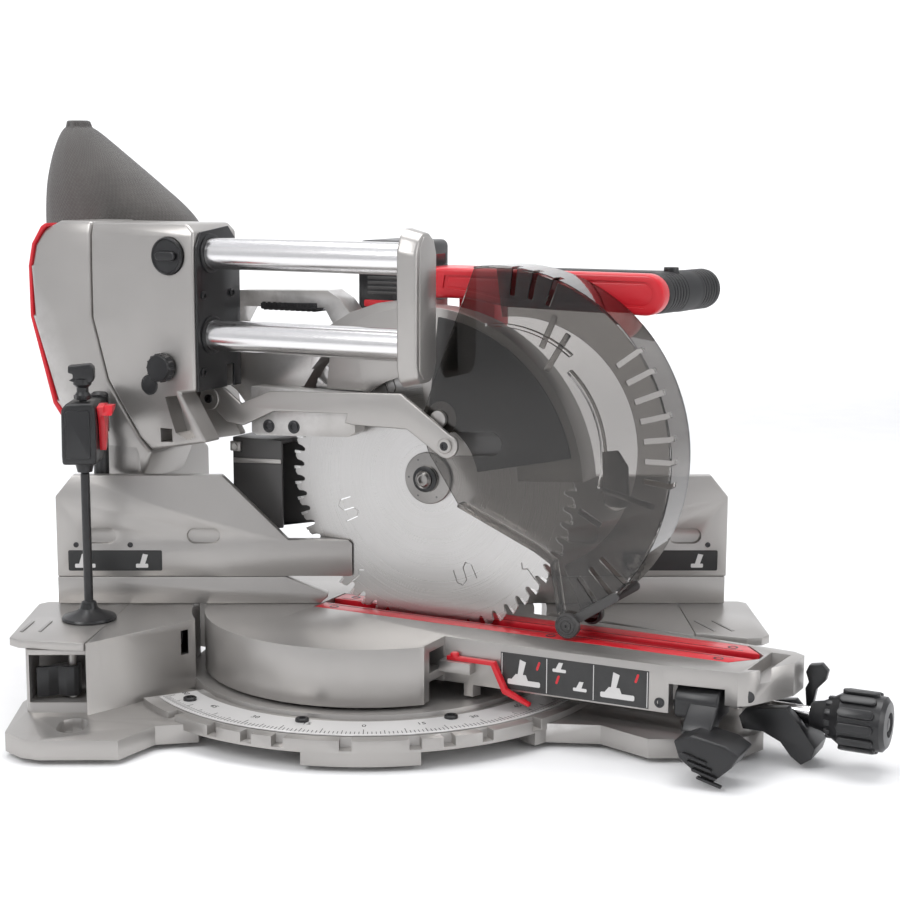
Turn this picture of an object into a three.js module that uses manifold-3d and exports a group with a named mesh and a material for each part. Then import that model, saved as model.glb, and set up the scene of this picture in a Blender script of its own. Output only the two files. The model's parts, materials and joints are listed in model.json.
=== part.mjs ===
// Sliding compound mitre saw, 305 mm blade, battery driven.
//
// Frame: millimetres, +Z up, origin on the turntable's axis in the plane of the feet.
// X runs to the right along the fence and Y runs to the back.
// Every height in the shapes below is measured from the table's surface, so a negative
// height is below the table. The two groups at the end lift the shapes to the bench frame.
// The arm frame turns with the turntable: x along the arm from the axis to the operator,
// y to the operator's left of the blade plane, z up from the table's surface. That is a
// left-handed frame, so its pieces are mirrored as they are placed.
import * as THREE from 'three';
import { mergeVertices } from 'three/addons/utils/BufferGeometryUtils.js';
import Module from 'manifold-3d';

const wasm = await Module();
wasm.setup();

// ---- driving dimensions ----------------------------------------------------------------
const TABLE = 90;                 // table surface above the bench
const FLOOR = -TABLE;
const MITRE_REST = 61.9;          // arm swung right of square, degrees
const GAP = 0.35;                 // air between pieces that rest on each other

const RAD = Math.PI / 180;

const BLADE_R = 152.5;
const BLADE_HALF = 1.3;           // half the body thickness
const TEETH = 60;
const ARBOR = [66.7, 133.9];      // blade centre: forward, height

const DRUM_R = 162.3;
const RING_R = 234;
const RING_TOP = -61.5;
const CASTING_FOOT = -85;

const FENCE_FACE = 5.6;
const FENCE_BACK = 18.5;
const FENCE_SPLIT = 27.9;
const FENCE_RISE = 100.8;          // height of the sliding fence above its foot

const RAIL_Y = 63.9;
const RAIL_R = 15;
const RAIL_TOP_Z = 345.6;
const RAIL_LOW_Z = 266.9;
const CARRIAGE_FRONT = -141;

const CHOP_AXIS = [-176, 236];
const LINK_PIVOT = [-163, 200];
const LINK_PIN = [101, 172];
const GUARD_PIVOT = [88.3, 195];
const GUARD_CENTRE = [147, 168];
const GUARD_R = 172;
const ROLLER = [223.7, 13.5];
const FIXED_GUARD_R = 165;

const GRIP = [270, -50.6, 314];
const BUTTON = [275.5, -84];
const LEVER_PIN = [394, -54];

const MOTOR_AXIS = [82, 211];
const MOTOR_R = 47;

const LEFT_LOCK = { x: -272, y: -112, side: -1 };
const RIGHT_LOCK = { x: 314.5, y: -104, side: 1 };
const CLAMP_POST = { x: -266, y: 27.6, r: 7.5 };
const CLAMP_SCREW = { x: -267, y: -52, r: 4.5 };

// ---- solids ------------------------------------------------------------------------------
function solid(geometry) {
  if (geometry.attributes.normal) {
    geometry.deleteAttribute('normal');
    geometry.deleteAttribute('uv');
  }
  const merged = mergeVertices(geometry, 1e-4);
  const vertProperties = new Float32Array(merged.attributes.position.array);
  const triVerts = new Uint32Array(merged.index.array);
  return new wasm.Manifold(new wasm.Mesh({ numProp: 3, vertProperties, triVerts }));
}

function toGeometry(body) {
  const mesh = body.getMesh();
  const geometry = new THREE.BufferGeometry();
  geometry.setAttribute('position', new THREE.BufferAttribute(mesh.vertProperties, 3));
  geometry.setIndex(new THREE.BufferAttribute(mesh.triVerts, 1));
  return geometry;
}

function join(...pieces) {
  return pieces.reduce((whole, piece) => whole.add(piece));
}

function cut(whole, ...tools) {
  return tools.reduce((rest, tool) => rest.subtract(tool), whole);
}

function extrude(points, depth) {
  const shape = new THREE.Shape(points.map(([x, y]) => new THREE.Vector2(x, y)));
  return new THREE.ExtrudeGeometry(shape, { depth, bevelEnabled: false });
}

// Outline in (x, y), raised from z0 to z1.
function alongZ(points, z0, z1) {
  return solid(extrude(points, z1 - z0).translate(0, 0, z0));
}

// Outline in (x, z), spread from y0 to y1.
function alongY(points, y0, y1) {
  return solid(extrude(points, y1 - y0).rotateX(Math.PI / 2).translate(0, y1, 0));
}

// Outline in (y, z), spread from x0 to x1.
function alongX(points, x0, x1) {
  const turn = new THREE.Matrix4().set(0, 0, 1, x0, 1, 0, 0, 0, 0, 1, 0, 0, 0, 0, 0, 1);
  return solid(extrude(points, x1 - x0).applyMatrix4(turn));
}

function box(x0, x1, y0, y1, z0, z1) {
  const geometry = new THREE.BoxGeometry(x1 - x0, y1 - y0, z1 - z0);
  return solid(geometry.translate((x0 + x1) / 2, (y0 + y1) / 2, (z0 + z1) / 2));
}

function rod(from, to, radius, sides = 24, endRadius = radius) {
  const a = new THREE.Vector3(...from);
  const b = new THREE.Vector3(...to);
  const along = b.clone().sub(a);
  const geometry = new THREE.CylinderGeometry(endRadius, radius, along.length(), sides);
  const up = new THREE.Vector3(0, 1, 0);
  geometry.applyQuaternion(new THREE.Quaternion().setFromUnitVectors(up, along.normalize()));
  return solid(geometry.translate(...a.add(b).multiplyScalar(0.5).toArray()));
}

// Turned piece: profile of [radius, distance] about a line from a point along a direction.
function turned(profile, origin, direction, sides = 24) {
  const points = profile.map(([r, d]) => new THREE.Vector2(r, d));
  const geometry = new THREE.LatheGeometry(points, sides);
  const up = new THREE.Vector3(0, 1, 0);
  const aim = new THREE.Vector3(...direction).normalize();
  geometry.applyQuaternion(new THREE.Quaternion().setFromUnitVectors(up, aim));
  return solid(geometry.translate(...origin));
}

function turnedBy(body, degrees) {
  return solid(toGeometry(body).rotateZ(degrees * RAD));
}

// ---- outlines ----------------------------------------------------------------------------
function arc([cx, cy], radius, from, to, steps) {
  const points = [];
  for (let i = 0; i <= steps; i += 1) {
    const t = (from + (to - from) * i / steps) * RAD;
    points.push([cx + radius * Math.cos(t), cy + radius * Math.sin(t)]);
  }
  return points;
}

function disc(centre, radius, steps = 32) {
  return arc(centre, radius, 0, 360, steps).slice(0, -1);
}

// Ring sector about the turntable's axis; angles are bearings right of straight ahead.
function sector(r0, r1, from, to, steps = 32) {
  const outer = arc([0, 0], r1, from - 90, to - 90, steps);
  const inner = arc([0, 0], r0, to - 90, from - 90, steps);
  return [...outer, ...inner];
}

function slotOutline([ax, ay], [bx, by], radius, steps = 8) {
  const tilt = Math.atan2(by - ay, bx - ax) / RAD;
  return [...arc([bx, by], radius, tilt - 90, tilt + 90, steps),
    ...arc([ax, ay], radius, tilt + 90, tilt + 270, steps)];
}

function rounded(x0, x1, y0, y1, r, steps = 4) {
  return [...arc([x1 - r, y1 - r], r, 0, 90, steps), ...arc([x0 + r, y1 - r], r, 90, 180, steps),
    ...arc([x0 + r, y0 + r], r, 180, 270, steps), ...arc([x1 - r, y0 + r], r, 270, 360, steps)];
}

function mirrorX(points) {
  return points.map(([x, y]) => [-x, y]).reverse();
}

function shifted(points, dx, dy = 0) {
  return points.map(([x, y]) => [x + dx, y + dy]);
}

function inset(points, share) {
  const cx = points.reduce((sum, p) => sum + p[0], 0) / points.length;
  const cy = points.reduce((sum, p) => sum + p[1], 0) / points.length;
  return points.map(([x, y]) => [cx + (x - cx) * share, cy + (y - cy) * share]);
}

// ---- base casting ------------------------------------------------------------------------
const NOTCHES = [-45, -31.6, -22.5, -15, 0, 15, 22.5, 31.6, 45];
const NOTCH_OFFSET = -3.7;        // the detent sits left of the arm's centre line
const LEFT_WING = [[-254, -141], ...arc([0, 0], 174.5, 198, 170, 7), [-236, 30]];
const RIGHT_WING = [[303, -113], [305, -108], [305, 30], ...arc([0, 0], 174.5, 10, -8.6, 6)];
const LEFT_FOOT = [[-312, -60], [-322, -100], [-318, -188], [-300, -207], [-284, -213],
  [-214, -213], [-188, -172], [-150, -165], [-140, -60]];
const RIGHT_FOOT = [[140, -60], [150, -165], [212, -172], [250, -211], [322, -211],
  [340, -204], [356, -188], [358, -100], [350, -60]];
const LEFT_REAR_FOOT = [[-312, 20], [-150, 20], [-168, 60], [-214, 92], [-238, 138],
  [-300, 138], [-318, 120]];
const RIGHT_REAR_FOOT = [[150, 20], [350, 20], [356, 120], [338, 138], [276, 138],
  [240, 92], [168, 60]];
const LEFT_BLOCK = rounded(-312, -250, -132, 42, 7);
const RIGHT_BLOCK = [[303, -105], [344, -124], [350, -120], [350, 42], [303, 42]];
const FOOT_TOP = -67.5;
const PLATE_T = 8;                // thickness of the table's skin and of the side plates
const FOOT_HOLES = [[-262, -170], [298, -168], [-276, 104], [314, 104]];
const PADS = {
  left_front: [-302, -128],
  right_front: [336, -124],
  left_rear: [-292, 56],
  right_rear: [330, 56],
};

function scaleRing() {
  let ring = alongZ(sector(165, RING_R, -63, 63, 32), RING_TOP - 11.5, RING_TOP);
  const toes = [[-13.5, 12.5], [-60, -49], [41, 52]];
  for (const [from, to] of toes) {
    ring = join(ring, alongZ(sector(212, RING_R - 1, from, to, 8), CASTING_FOOT, RING_TOP - 6));
  }
  for (const bearing of NOTCHES) {
    const tool = box(-5.5, 5.5, -250, -223, RING_TOP - 9, RING_TOP + 5);
    ring = cut(ring, turnedBy(tool, bearing + NOTCH_OFFSET));
  }
  return ring;
}

function pan() {
  let dish = alongZ(disc([0, 0], 175, 40), CASTING_FOOT, -57);
  dish = cut(dish, alongZ(disc([0, 0], 167, 24), CASTING_FOOT - 5, -65));
  dish = join(dish, alongZ(disc([0, 0], 26, 24), FLOOR, -57));
  for (let i = 0; i < 6; i += 1) {
    const rib = box(20, 170, -3, 3, CASTING_FOOT + 2, -62);
    dish = join(dish, turnedBy(rib, 60 * i + 30));
  }
  return cut(dish, rod([0, 0, -76], [0, 0, -50], 6.4));
}

function wing(shape) {
  const shell = alongZ(shape, CASTING_FOOT, 0);
  return cut(shell, alongZ(inset(shape, 0.87), CASTING_FOOT - 5, -PLATE_T));
}

// Block outboard of a wing: the side plate rides on it and its lock lever sits in its recess.
function sideBlock(shape, recessFrom, recessTo, recessBack) {
  const block = alongZ(shape, CASTING_FOOT, -PLATE_T - GAP);
  const hollow = alongZ(inset(shape, 0.8), CASTING_FOOT - 5, -66);
  return cut(block, hollow, box(recessFrom, recessTo, -160, recessBack, -58, -13));
}

function guideChannel(from, to) {
  return box(from, to, -66, -22, -32, -PLATE_T - 0.2);
}

function baseCasting() {
  let base = join(pan(), scaleRing(), wing(LEFT_WING), wing(RIGHT_WING),
    sideBlock(LEFT_BLOCK, -308, -256, -88), sideBlock(RIGHT_BLOCK, 305, 347.5, -80));
  for (const foot of [LEFT_FOOT, RIGHT_FOOT, LEFT_REAR_FOOT, RIGHT_REAR_FOOT]) {
    base = join(base, alongZ(foot, CASTING_FOOT, FOOT_TOP));
  }
  base = cut(base, guideChannel(-420, -172), guideChannel(228, 420));
  base = cut(base, alongZ(disc([0, 0], 164.5, 40), -57, 20));
  for (const [x, y] of FOOT_HOLES) {
    base = cut(base, alongZ(slotOutline([x, y - 8], [x, y + 8], 13, 5), -95, -60));
  }
  for (const lock of [LEFT_LOCK, RIGHT_LOCK]) {
    base = join(base, rod([lock.x, lock.y, -60], [lock.x, lock.y, -12], 4, 12));
  }
  for (const [x, y] of Object.values(PADS)) {
    base = join(base, rod([x, y, CASTING_FOOT], [x, y, CASTING_FOOT + 14], 16, 12));
  }
  return cut(base, rod([CLAMP_POST.x, CLAMP_POST.y, -60], [CLAMP_POST.x, CLAMP_POST.y, 5],
    CLAMP_POST.r + 0.6));
}

function rubberFoot([x, y]) {
  return rod([x, y, FLOOR], [x, y, CASTING_FOOT - GAP], 14, 20);
}

function pivotBolt() {
  return join(rod([0, 0, -75], [0, 0, -25], 6, 16), rod([0, 0, -27.4], [0, 0, -21.5], 10, 6));
}

function miterScale() {
  const low = RING_TOP + GAP;
  return alongZ(sector(184, 221, -61, 61, 32), low, low + 1.5);
}

// ---- fences ------------------------------------------------------------------------------
// Low castings stand on the wings; the tall ones above slide along them.
function lowFence(points, flangeFrom, flangeTo) {
  const wall = alongY(points, FENCE_FACE, FENCE_BACK);
  const flange = box(flangeFrom, flangeTo, FENCE_BACK - 2, 29, GAP, 8);
  const postHole = rod([CLAMP_POST.x, CLAMP_POST.y, -5], [CLAMP_POST.x, CLAMP_POST.y, 30],
    CLAMP_POST.r + 0.6);
  return cut(join(wall, flange), postHole);
}

function leftLowFence() {
  return lowFence([[-308, GAP], [-50, GAP], [-42, 7], [-42, 11], [-84, FENCE_SPLIT],
    [-308, FENCE_SPLIT]], -300, -180);
}

function rightLowFence() {
  return lowFence([[92, GAP], [352, GAP], [352, FENCE_SPLIT], [116, FENCE_SPLIT], [84, 11],
    [84, 7]], 180, 345);
}

// Tall fence outline, drawn for the left one; the inner end clears the blade.
const TALL_FENCE = [[-308, 0], [-16, 0], [-16, 32], [-22, 36.4], [-81, 36.4], [-145, FENCE_RISE],
  [-291, FENCE_RISE], [-308, 80]].map(([x, z]) => [x, z + FENCE_SPLIT + GAP]);

function tallFence(points) {
  const pads = (x0, x1) => box(x0, x1, FENCE_BACK - 1, FENCE_BACK + 5, 50, 96);
  const xs = points.map(([x]) => x);
  const [low, high] = [Math.min(...xs), Math.max(...xs)];
  let fence = alongY(points, FENCE_FACE, FENCE_BACK);
  fence = join(fence, pads(low + 118, low + 150), pads(high - 150, high - 118));
  const mid = (low + high) / 2;
  const outer = Math.sign(mid);
  for (const x of [mid + outer * 104, mid + outer * 2]) {
    const dish = slotOutline([x - 8.5, 68.8], [x + 8.5, 68.8], 7.5);
    fence = cut(fence, alongY(dish, FENCE_FACE - 2, FENCE_FACE + 6));
  }
  return fence;
}

function leftFence() {
  const bladePlane = box(-3.2, 60, -60, 60, 0, 160);
  return cut(tallFence(TALL_FENCE), turnedBy(bladePlane, MITRE_REST));
}

function rightFence() {
  return tallFence(shifted(mirrorX(TALL_FENCE), 45));
}

// ---- side plates and their locks ---------------------------------------------------------

function sidePlate(points, guideFrom, guideTo) {
  let plate = alongZ(points, -PLATE_T, 0);
  plate = join(plate, box(guideFrom, guideTo, -64, -24, -30, -PLATE_T - 2));
  const rib = guideTo < 0 ? box(guideFrom, -258, -64, -24, -11, -PLATE_T + 1)
    : box(309, guideTo, -64, -24, -11, -PLATE_T + 1);
  return join(plate, rib);
}

function leftExtension() {
  return sidePlate([[-318, -127], [-258, -139], [-255.5, -138], [-246, -64], [-238, 16],
    [-320, 16], [-328, 8], [-328, -118]], -326, -182);
}

function rightExtension() {
  return sidePlate([[306, -107], [313, -107], [351, -123], [366, -121], [374, -112], [375, 10],
    [368, 17], [306, 17]], 238, 372);
}

function lockLever({ x, y, side }) {
  const inner = (distance) => x + side * distance;
  const plan = [[inner(-7), y - 7], [inner(-3), y - 10], [inner(4), y - 10], [inner(12), y - 6],
    [inner(20), y - 11], [inner(31), y - 12], [inner(31), y - 6], [inner(22), y - 4],
    [inner(13), y + 3], [inner(5), y + 9], [inner(-3), y + 9], [inner(-7), y + 6]];
  const lever = alongZ(side < 0 ? plan.slice().reverse() : plan, -55, -27);
  return cut(lever, rod([x, y, -60], [x, y, -20], 4.4, 16));
}

// ---- hold-down clamp ---------------------------------------------------------------------

function clampPost() {
  const { x, y, r } = CLAMP_POST;
  let body = alongX(rounded(-70, -30, 152, 210, 6, 2), -284.5, -252.5);
  body = join(body, alongX([[-40, 172], [20, 176], [20, 206], [-40, 206]], -279, -259),
    rod([x, y, 172], [x, y, 207], 8.8, 20));
  body = join(body, rod([x, y, -58], [x, y, 200], r, 20));
  const bore = rod([CLAMP_SCREW.x, CLAMP_SCREW.y, 140], [CLAMP_SCREW.x, CLAMP_SCREW.y, 220],
    CLAMP_SCREW.r + 0.5, 16);
  const window = box(-252, -240, -66, -34, 160, 212);
  return cut(body, bore, window);
}

function clampScrew() {
  const at = [CLAMP_SCREW.x, CLAMP_SCREW.y, 0];
  const rodPart = rod([at[0], at[1], 8], [at[0], at[1], 226], CLAMP_SCREW.r, 20);
  const foot = turned([[0, GAP], [26, GAP], [26, 3], [12, 8.5], [9, 16], [6, 18], [0, 18]], at,
    [0, 0, 1], 24);
  const collar = turned([[0, 214], [8.5, 214], [6.5, 222], [9, 226], [9, 231], [0, 231]], at,
    [0, 0, 1], 16);
  const wingShape = [[-12, 229], [-4, 226], [10, 226], [12, 231], [12, 243], [8, 246],
    [-13, 244], [-13, 236]];
  const wings = alongY(shifted(wingShape, at[0]), at[1] - 6, at[1] + 6);
  return join(rodPart, foot, collar, wings);
}

function clampLever() {
  const plate = [[-66, 206], [-52, 208], [-40, 207], [-36, 196], [-41, 180], [-48, 166],
    [-54, 164], [-56, 172], [-58, 190]];
  const tab = alongX(plate, -251.8, -246);
  const grip = alongX([[-64, 198], [-44, 202], [-40, 206], [-60, 207]], -247, -238.5);
  return join(tab, grip);
}

// ---- turntable and its arm ---------------------------------------------------------------
const ARM_FLOOR = -42.5;
const ARM_PLAN = [[100, -48], [330, -41], [420, -32], [431, -24], [430, 4], [405, 50],
  [396, 57], [330, 65], [100, 70]];

function turntableShell() {
  const drum = cut(alongZ(disc([0, 0], DRUM_R, 56), -54, 0),
    alongZ(disc([0, 0], DRUM_R - 8, 32), -60, -8));
  const armBody = alongZ(ARM_PLAN, ARM_FLOOR, 0);
  const armHollow = alongZ([[90, -38], [322, -33], [352, -30], [352, 48], [322, 56],
    [90, 60]], -60, -8);
  const hub = rod([0, 0, -56.6], [0, 0, -28], 24);
  const tail = join(box(-206, -120, -45, 45, -53, -8),
    rod([-206, 0, 0], [-186, 0, 0], 42, 28));
  const floorPlate = cut(alongZ(disc([0, 0], 158, 32), -36, -28), box(-80, 160, -11, 11, -50, 0));
  let shell = join(cut(join(drum, armBody), armHollow), hub, floorPlate);
  shell = cut(join(shell, tail), box(-190, -126, -37, 37, -60, -16));
  return cut(shell, rod([0, 0, -60], [0, 0, -20], 6.4));
}

function turntable() {
  let casting = turntableShell();
  // Long slot for the blade, with ledges that carry the kerf inserts.
  casting = cut(casting, box(-44, 390, -11, 11, -27, 10));
  casting = cut(casting, alongZ([[-48, -31.4], [378, -31.4], [399, -6], [399, 6], [378, 29.4],
    [-48, 29.4]], -6.4, 5));
  // Front end: step, pedal opening, corner recess and the bore of the lock rod.
  casting = cut(casting, box(336, 385, 24, 80, -60, -16), box(385, 460, -60, 80, -60, -30));
  casting = cut(casting, alongZ([[402, -20], [420, -20], [416, 38], [400, 44]], -12, 5));
  casting = join(casting, box(385, 408, -7.4, 7.4, -60, -29));
  const [px, pz] = LEVER_PIN;
  casting = cut(casting, rod([px, -20, pz], [px, 20, pz], 3.4, 12));
  casting = cut(casting, rod([300, 0, -43.5], [450, 0, -43.5], 6.2));
  // Corner pocket beside the arm for the pointer, and the bevel pivot's bore.
  casting = cut(casting, box(118, 176, 67.6, 110, -60, 5));
  casting = join(casting, box(118, 150, 60, 80, -30, -20));
  return cut(casting, rod([-210, 0, 0], [-170, 0, 0], 8.5));
}

function kerfInsert(side) {
  const near = side > 0 ? [[-46, 9], [394, 9], [376, 28.8], [-46, 28.8]]
    : [[-46, -30.8], [376, -30.8], [394.5, -9], [-46, -9]];
  return alongZ(near, -6, 0);
}

function miterPointer() {
  const blade = alongY([[124, -19.6], [124, -16], [172, -16], [184, -40], [207, -50.5],
    [207, -53], [181, -44], [169, -19.6]], 69.5, 75.5);
  const screw = turned([[0, 0], [4.2, 0], [4.2, 3.4], [3, 4.6], [0, 4.6]], [131, 72.5, -17],
    [0, 0, 1], 14);
  return join(blade, screw);
}

function detentBar() {
  const bar = box(160, 334, 10, 21, -49.5, -46.5);
  const pin = box(222, 236, 12, 19, -58, -48);
  const tab = box(228, 242, 20, 32, -50, -46.5);
  return join(bar, pin, tab);
}

// ---- controls at the arm's front ---------------------------------------------------------
function lockKnob() {
  const at = [459, 0, -45];
  const knob = turned([[0, 0], [14, 0], [24, 13], [27.5, 20], [27.5, 44], [24, 54], [0, 56]],
    at, [1, 0, 0], 24);
  return join(knob, rod([330, 0, -43.5], [466, 0, -43.5], 5.5, 16));
}

function pedal() {
  const block = alongX([[27, -18.5], [58, -18.5], [64, -24], [64, -40], [56, -46], [30, -44]],
    339, 382);
  const neck = alongX([[46, -38], [64, -30], [84, -50], [76, -62]], 356, 380);
  const pad = [[354, -52], [372, -45], [402, -50], [414, -57], [408, -68], [390, -85], [374, -76],
    [360, -66.5]];
  return join(block, neck, alongY(pad, 66, 109));
}

function detentLever() {
  const [x, z] = LEVER_PIN;
  const plan = [[386, -50], [392, -42], [428, -37.5], [440, -50], [455, -70], [452, -80],
    [443, -86], [434, -80], [424, -68], [408, -61], [390, -61]];
  const lever = cut(alongY(plan, -18, 20), box(380, 409, -8, 8, -65, -30),
    box(400, 460, -8, 8, -57, -30));
  return join(lever, rod([x, -17, z], [x, 19, z], 3, 12));
}

function hookLever() {
  const plan = [[434.5, -52], [438.5, -52], [442.5, -30], [450.5, -21], [452.5, -12], [446.5, -6],
    [435.5, -8], [432.5, -15], [435.5, -24], [432.5, -30]];
  return alongY(plan, -32, -24);
}

// ---- bevel arm, rails and rear housing ---------------------------------------------------
const HOUSING_L = [12, 88];
const HOUSING = [[-265.5, 374.5], [-305, 374.5], [-334, 350], [-338.5, 329], [-338, 279],
  [-313, 194], [-285, 158], [-272, 132], [-214, 118], [-199, 150], [-212, 163], [-249, 219],
  [-265.5, 281]];

function bevelArm() {
  const housing = alongY(HOUSING, ...HOUSING_L, 2);
  const neck = alongX([[-36, -10], [36, -10], [40, 60], [86, 128], [84, 168], [14, 168],
    [-6, 158], [-34, 140]], -262, -212);
  const hub = rod([-264, 0, 0], [-206.6, 0, 0], 44, 28);
  let arm = join(housing, neck, hub);
  for (const z of [RAIL_TOP_Z, RAIL_LOW_Z]) {
    arm = cut(arm, rod([-316, RAIL_Y, z], [-250, RAIL_Y, z], RAIL_R + 0.4, 20));
  }
  return cut(arm, rod([-270, 0, 0], [-200, 0, 0], 8.5));
}

function rearCover() {
  const outer = [[-304, 378.5], [-337.5, 351.5], [-342.7, 329.5], [-342.2, 278.5],
    [-316.5, 191.5], [-289, 157], [-285.5, 158.6]];
  const inner = [[-313.4, 194.2], [-338.4, 279.2], [-338.9, 329.2], [-334.3, 350.3],
    [-305, 374.9]];
  const shift = ([x, z]) => [x - GAP, z + GAP];
  return alongY([...outer, ...inner.map(shift)], 8, 90);
}

function rail(height) {
  const tube = rod([-315, RAIL_Y, height], [89, RAIL_Y, height], RAIL_R, 20);
  return cut(tube, rod([-317, RAIL_Y, height], [91, RAIL_Y, height], RAIL_R - 3, 12));
}

function railEndCap() {
  const face = [[45, 236], [52, 229], [76, 229], [83, 236], [86, 250], [86, 355], [80, 368],
    [70, 374], [57, 374], [47, 368], [42, 355], [42, 250]];
  let cap = alongX(face, 77, 96.5);
  for (const z of [RAIL_TOP_Z, RAIL_LOW_Z]) {
    cap = cut(cap, rod([60, RAIL_Y, z], [89.5, RAIL_Y, z], RAIL_R + 0.4, 20));
  }
  return cap;
}

function bevelBolt() {
  return join(rod([-283, 0, 0], [-183, 0, 0], 8, 16), rod([-274, 0, 0], [-266, 0, 0], 13, 6));
}

function bevelLock() {
  const arm = alongX([[-8, 12], [8, 12], [14, 34], [62, 76], [50, 90], [-2, 46]], -286, -276);
  const bore = rod([-290, 0, 0], [-270, 0, 0], 8.5, 16);
  const hub = cut(rod([-286, 0, 0], [-276, 0, 0], 17, 24), bore);
  const knob = rod([-300, 55, 82], [-276, 55, 82], 9, 16, 8);
  return join(hub, arm, knob);
}

// ---- carriage ----------------------------------------------------------------------------
const CARRIAGE_SIDE = [[-262, 374], [CARRIAGE_FRONT, 374], [CARRIAGE_FRONT, 214], [-160, 212],
  [-131, 165], [-196, 153], [-208.6, 164], [-245.5, 220], [-262, 281]];

function carriage() {
  const skin = alongY(CARRIAGE_SIDE, 16, 91);
  const bridge = alongY([[-204, 240], [-214, 232], [-214, 200], [-204, 172], [-190, 172],
    [-197, 205], [-197, 240]], -64, 18);
  const lugShape = [...arc(CHOP_AXIS, 15, -90, 110, 10), [-206, 238], [-206, 210]];
  const lugs = join(alongY(lugShape, 4, 17), alongY(lugShape, -64, -53));
  let body = join(skin, bridge, lugs);
  for (const z of [RAIL_TOP_Z, RAIL_LOW_Z]) {
    body = cut(body, rod([-270, RAIL_Y, z], [-130, RAIL_Y, z], RAIL_R + 1, 20),
      rod([-250.4, RAIL_Y, z], [-151.6, RAIL_Y, z], 18.4, 20));
  }
  body = cut(body, rod([CHOP_AXIS[0], -70, CHOP_AXIS[1]], [CHOP_AXIS[0], 14.5, CHOP_AXIS[1]], 8.4));
  body = cut(body, rod([CHOP_AXIS[0], 66, CHOP_AXIS[1]], [CHOP_AXIS[0], 95, CHOP_AXIS[1]], 8.4));
  body = cut(body, rod([-169, 84, 343.2], [-169, 95, 343.2], 18.6, 20));
  // Open pocket for the link, with the stud that its rear eye turns on.
  body = cut(body, box(-179, -120, 27.5, 64, 140, 214.5), box(-179, -120, 27.5, 39.5, 200, 246));
  const [lx, lz] = LINK_PIVOT;
  return join(body, rod([lx, 22, lz], [lx, 38, lz], 5, 12));
}

function slideBush(height) {
  const bush = rod([-250, RAIL_Y, height], [-152, RAIL_Y, height], 18, 20);
  return cut(bush, rod([-255, RAIL_Y, height], [-145, RAIL_Y, height], RAIL_R + 0.4, 20));
}

function frontPlate() {
  const face = [[15, 214], [88, 214], [88, 352], [78, 368], [34, 372], [15, 352]];
  const x0 = CARRIAGE_FRONT + GAP;
  let plate = alongX(face, x0, x0 + 2.6);
  for (const z of [RAIL_TOP_Z, RAIL_LOW_Z]) {
    plate = cut(plate, rod([-150, RAIL_Y, z], [-130, RAIL_Y, z], RAIL_R + 0.8, 20));
  }
  plate = cut(plate, box(x0 - 2, x0 + 6, 27, 39.5, 200, 236));
  for (const [y, z] of [[84, 303], [84, 232]]) {
    plate = join(plate, rod([x0 + 1, y - 6, z], [x0 + 5, y - 6, z], 4, 8));
  }
  return plate;
}

function slideLockKnob() {
  return turned([[0, 0], [17.6, 0], [17.6, 10], [15.5, 13], [0, 13]], [-169, 84.5, 343.2],
    [0, 1, 0], 28);
}

function headLockPin() {
  const [x, z] = CHOP_AXIS;
  const stem = rod([x, 68, z], [x, 92, z], 8, 20);
  const cap = [[0, 0], [13, 0], [13, 9], [11, 11.5], [0, 11.5]];
  const head = turned(cap, [x, 91.5, z], [0, 1, 0], 24);
  return join(stem, head);
}

function chopAxle() {
  const [x, z] = CHOP_AXIS;
  return join(rod([x, -66, z], [x, 14, z], 8, 24), rod([x, -70, z], [x, -64.4, z], 13, 6));
}

// ---- dust path ---------------------------------------------------------------------------
function dustElbow() {
  const path = [[-214.4, 196], [-232, 196], [-252, 206], [-262, 232], [-262, 262]];
  const back = [[-240, 262], [-238, 236], [-232, 224], [-214.4, 222]];
  const tube = alongY([...path, ...back].reverse(), -56, -20);
  const collar = turned([[0, 0], [23, 0], [23, 16], [0, 16]], [-251, -38, 258], [0, 0, 1], 28);
  const whole = join(tube, collar);
  const bore = join(alongY([[-200, 199], [-230, 199], [-249, 208], [-258, 232], [-258, 264],
    [-243, 264], [-241, 234], [-233, 221], [-200, 219]].reverse(), -53, -23),
  turned([[0, 0], [20, 0], [20, 20], [0, 20]], [-251, -38, 261], [0, 0, 1], 28));
  return cut(whole, bore);
}

// Bag: oval sections that droop to the back; plain here, cloth in the finished look.
const BAG_SECTIONS = [
  { x: -262, y: -38, z: 276, rx: 34, ry: 34 },
  { x: -304, y: -40, z: 300, rx: 94, ry: 40 },
  { x: -318, y: -41, z: 345, rx: 108, ry: 43 },
  { x: -326, y: -41, z: 372, rx: 103, ry: 43 },
  { x: -345, y: -41, z: 410, rx: 76, ry: 39 },
  { x: -366, y: -41, z: 446, rx: 44, ry: 31 },
  { x: -380, y: -41, z: 476, rx: 12, ry: 10 },
];

function dustBag() {
  const rows = BAG_SECTIONS.length - 1;
  const geometry = new THREE.CylinderGeometry(1, 1, rows, 24, rows).rotateX(Math.PI / 2);
  const place = geometry.attributes.position;
  for (let i = 0; i < place.count; i += 1) {
    const section = BAG_SECTIONS[Math.round(place.getZ(i) + rows / 2)];
    place.setXYZ(i, section.x + section.rx * place.getX(i), section.y + section.ry * place.getY(i),
      section.z);
  }
  return solid(geometry);
}

function dustChute() {
  const outer = [[-150, 160], [-150, 92], [-136, 66], [-73, 74], [-88, 120], [-88, 160]];
  const far = [[-146, 156], [-146, 96], [-134, 70], [-66, 78], [-66, 156]];
  let chute = join(alongY(outer, -20, 15), alongY(far, -20, -16));
  const inner = [[-146, 156], [-146, 94], [-134, 62], [-60, 62], [-60, 156]];
  chute = cut(chute, alongY(inner, -16, 11.5));
  return cut(chute, box(-92, -40, -8, 20, 50, 170));
}

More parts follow.
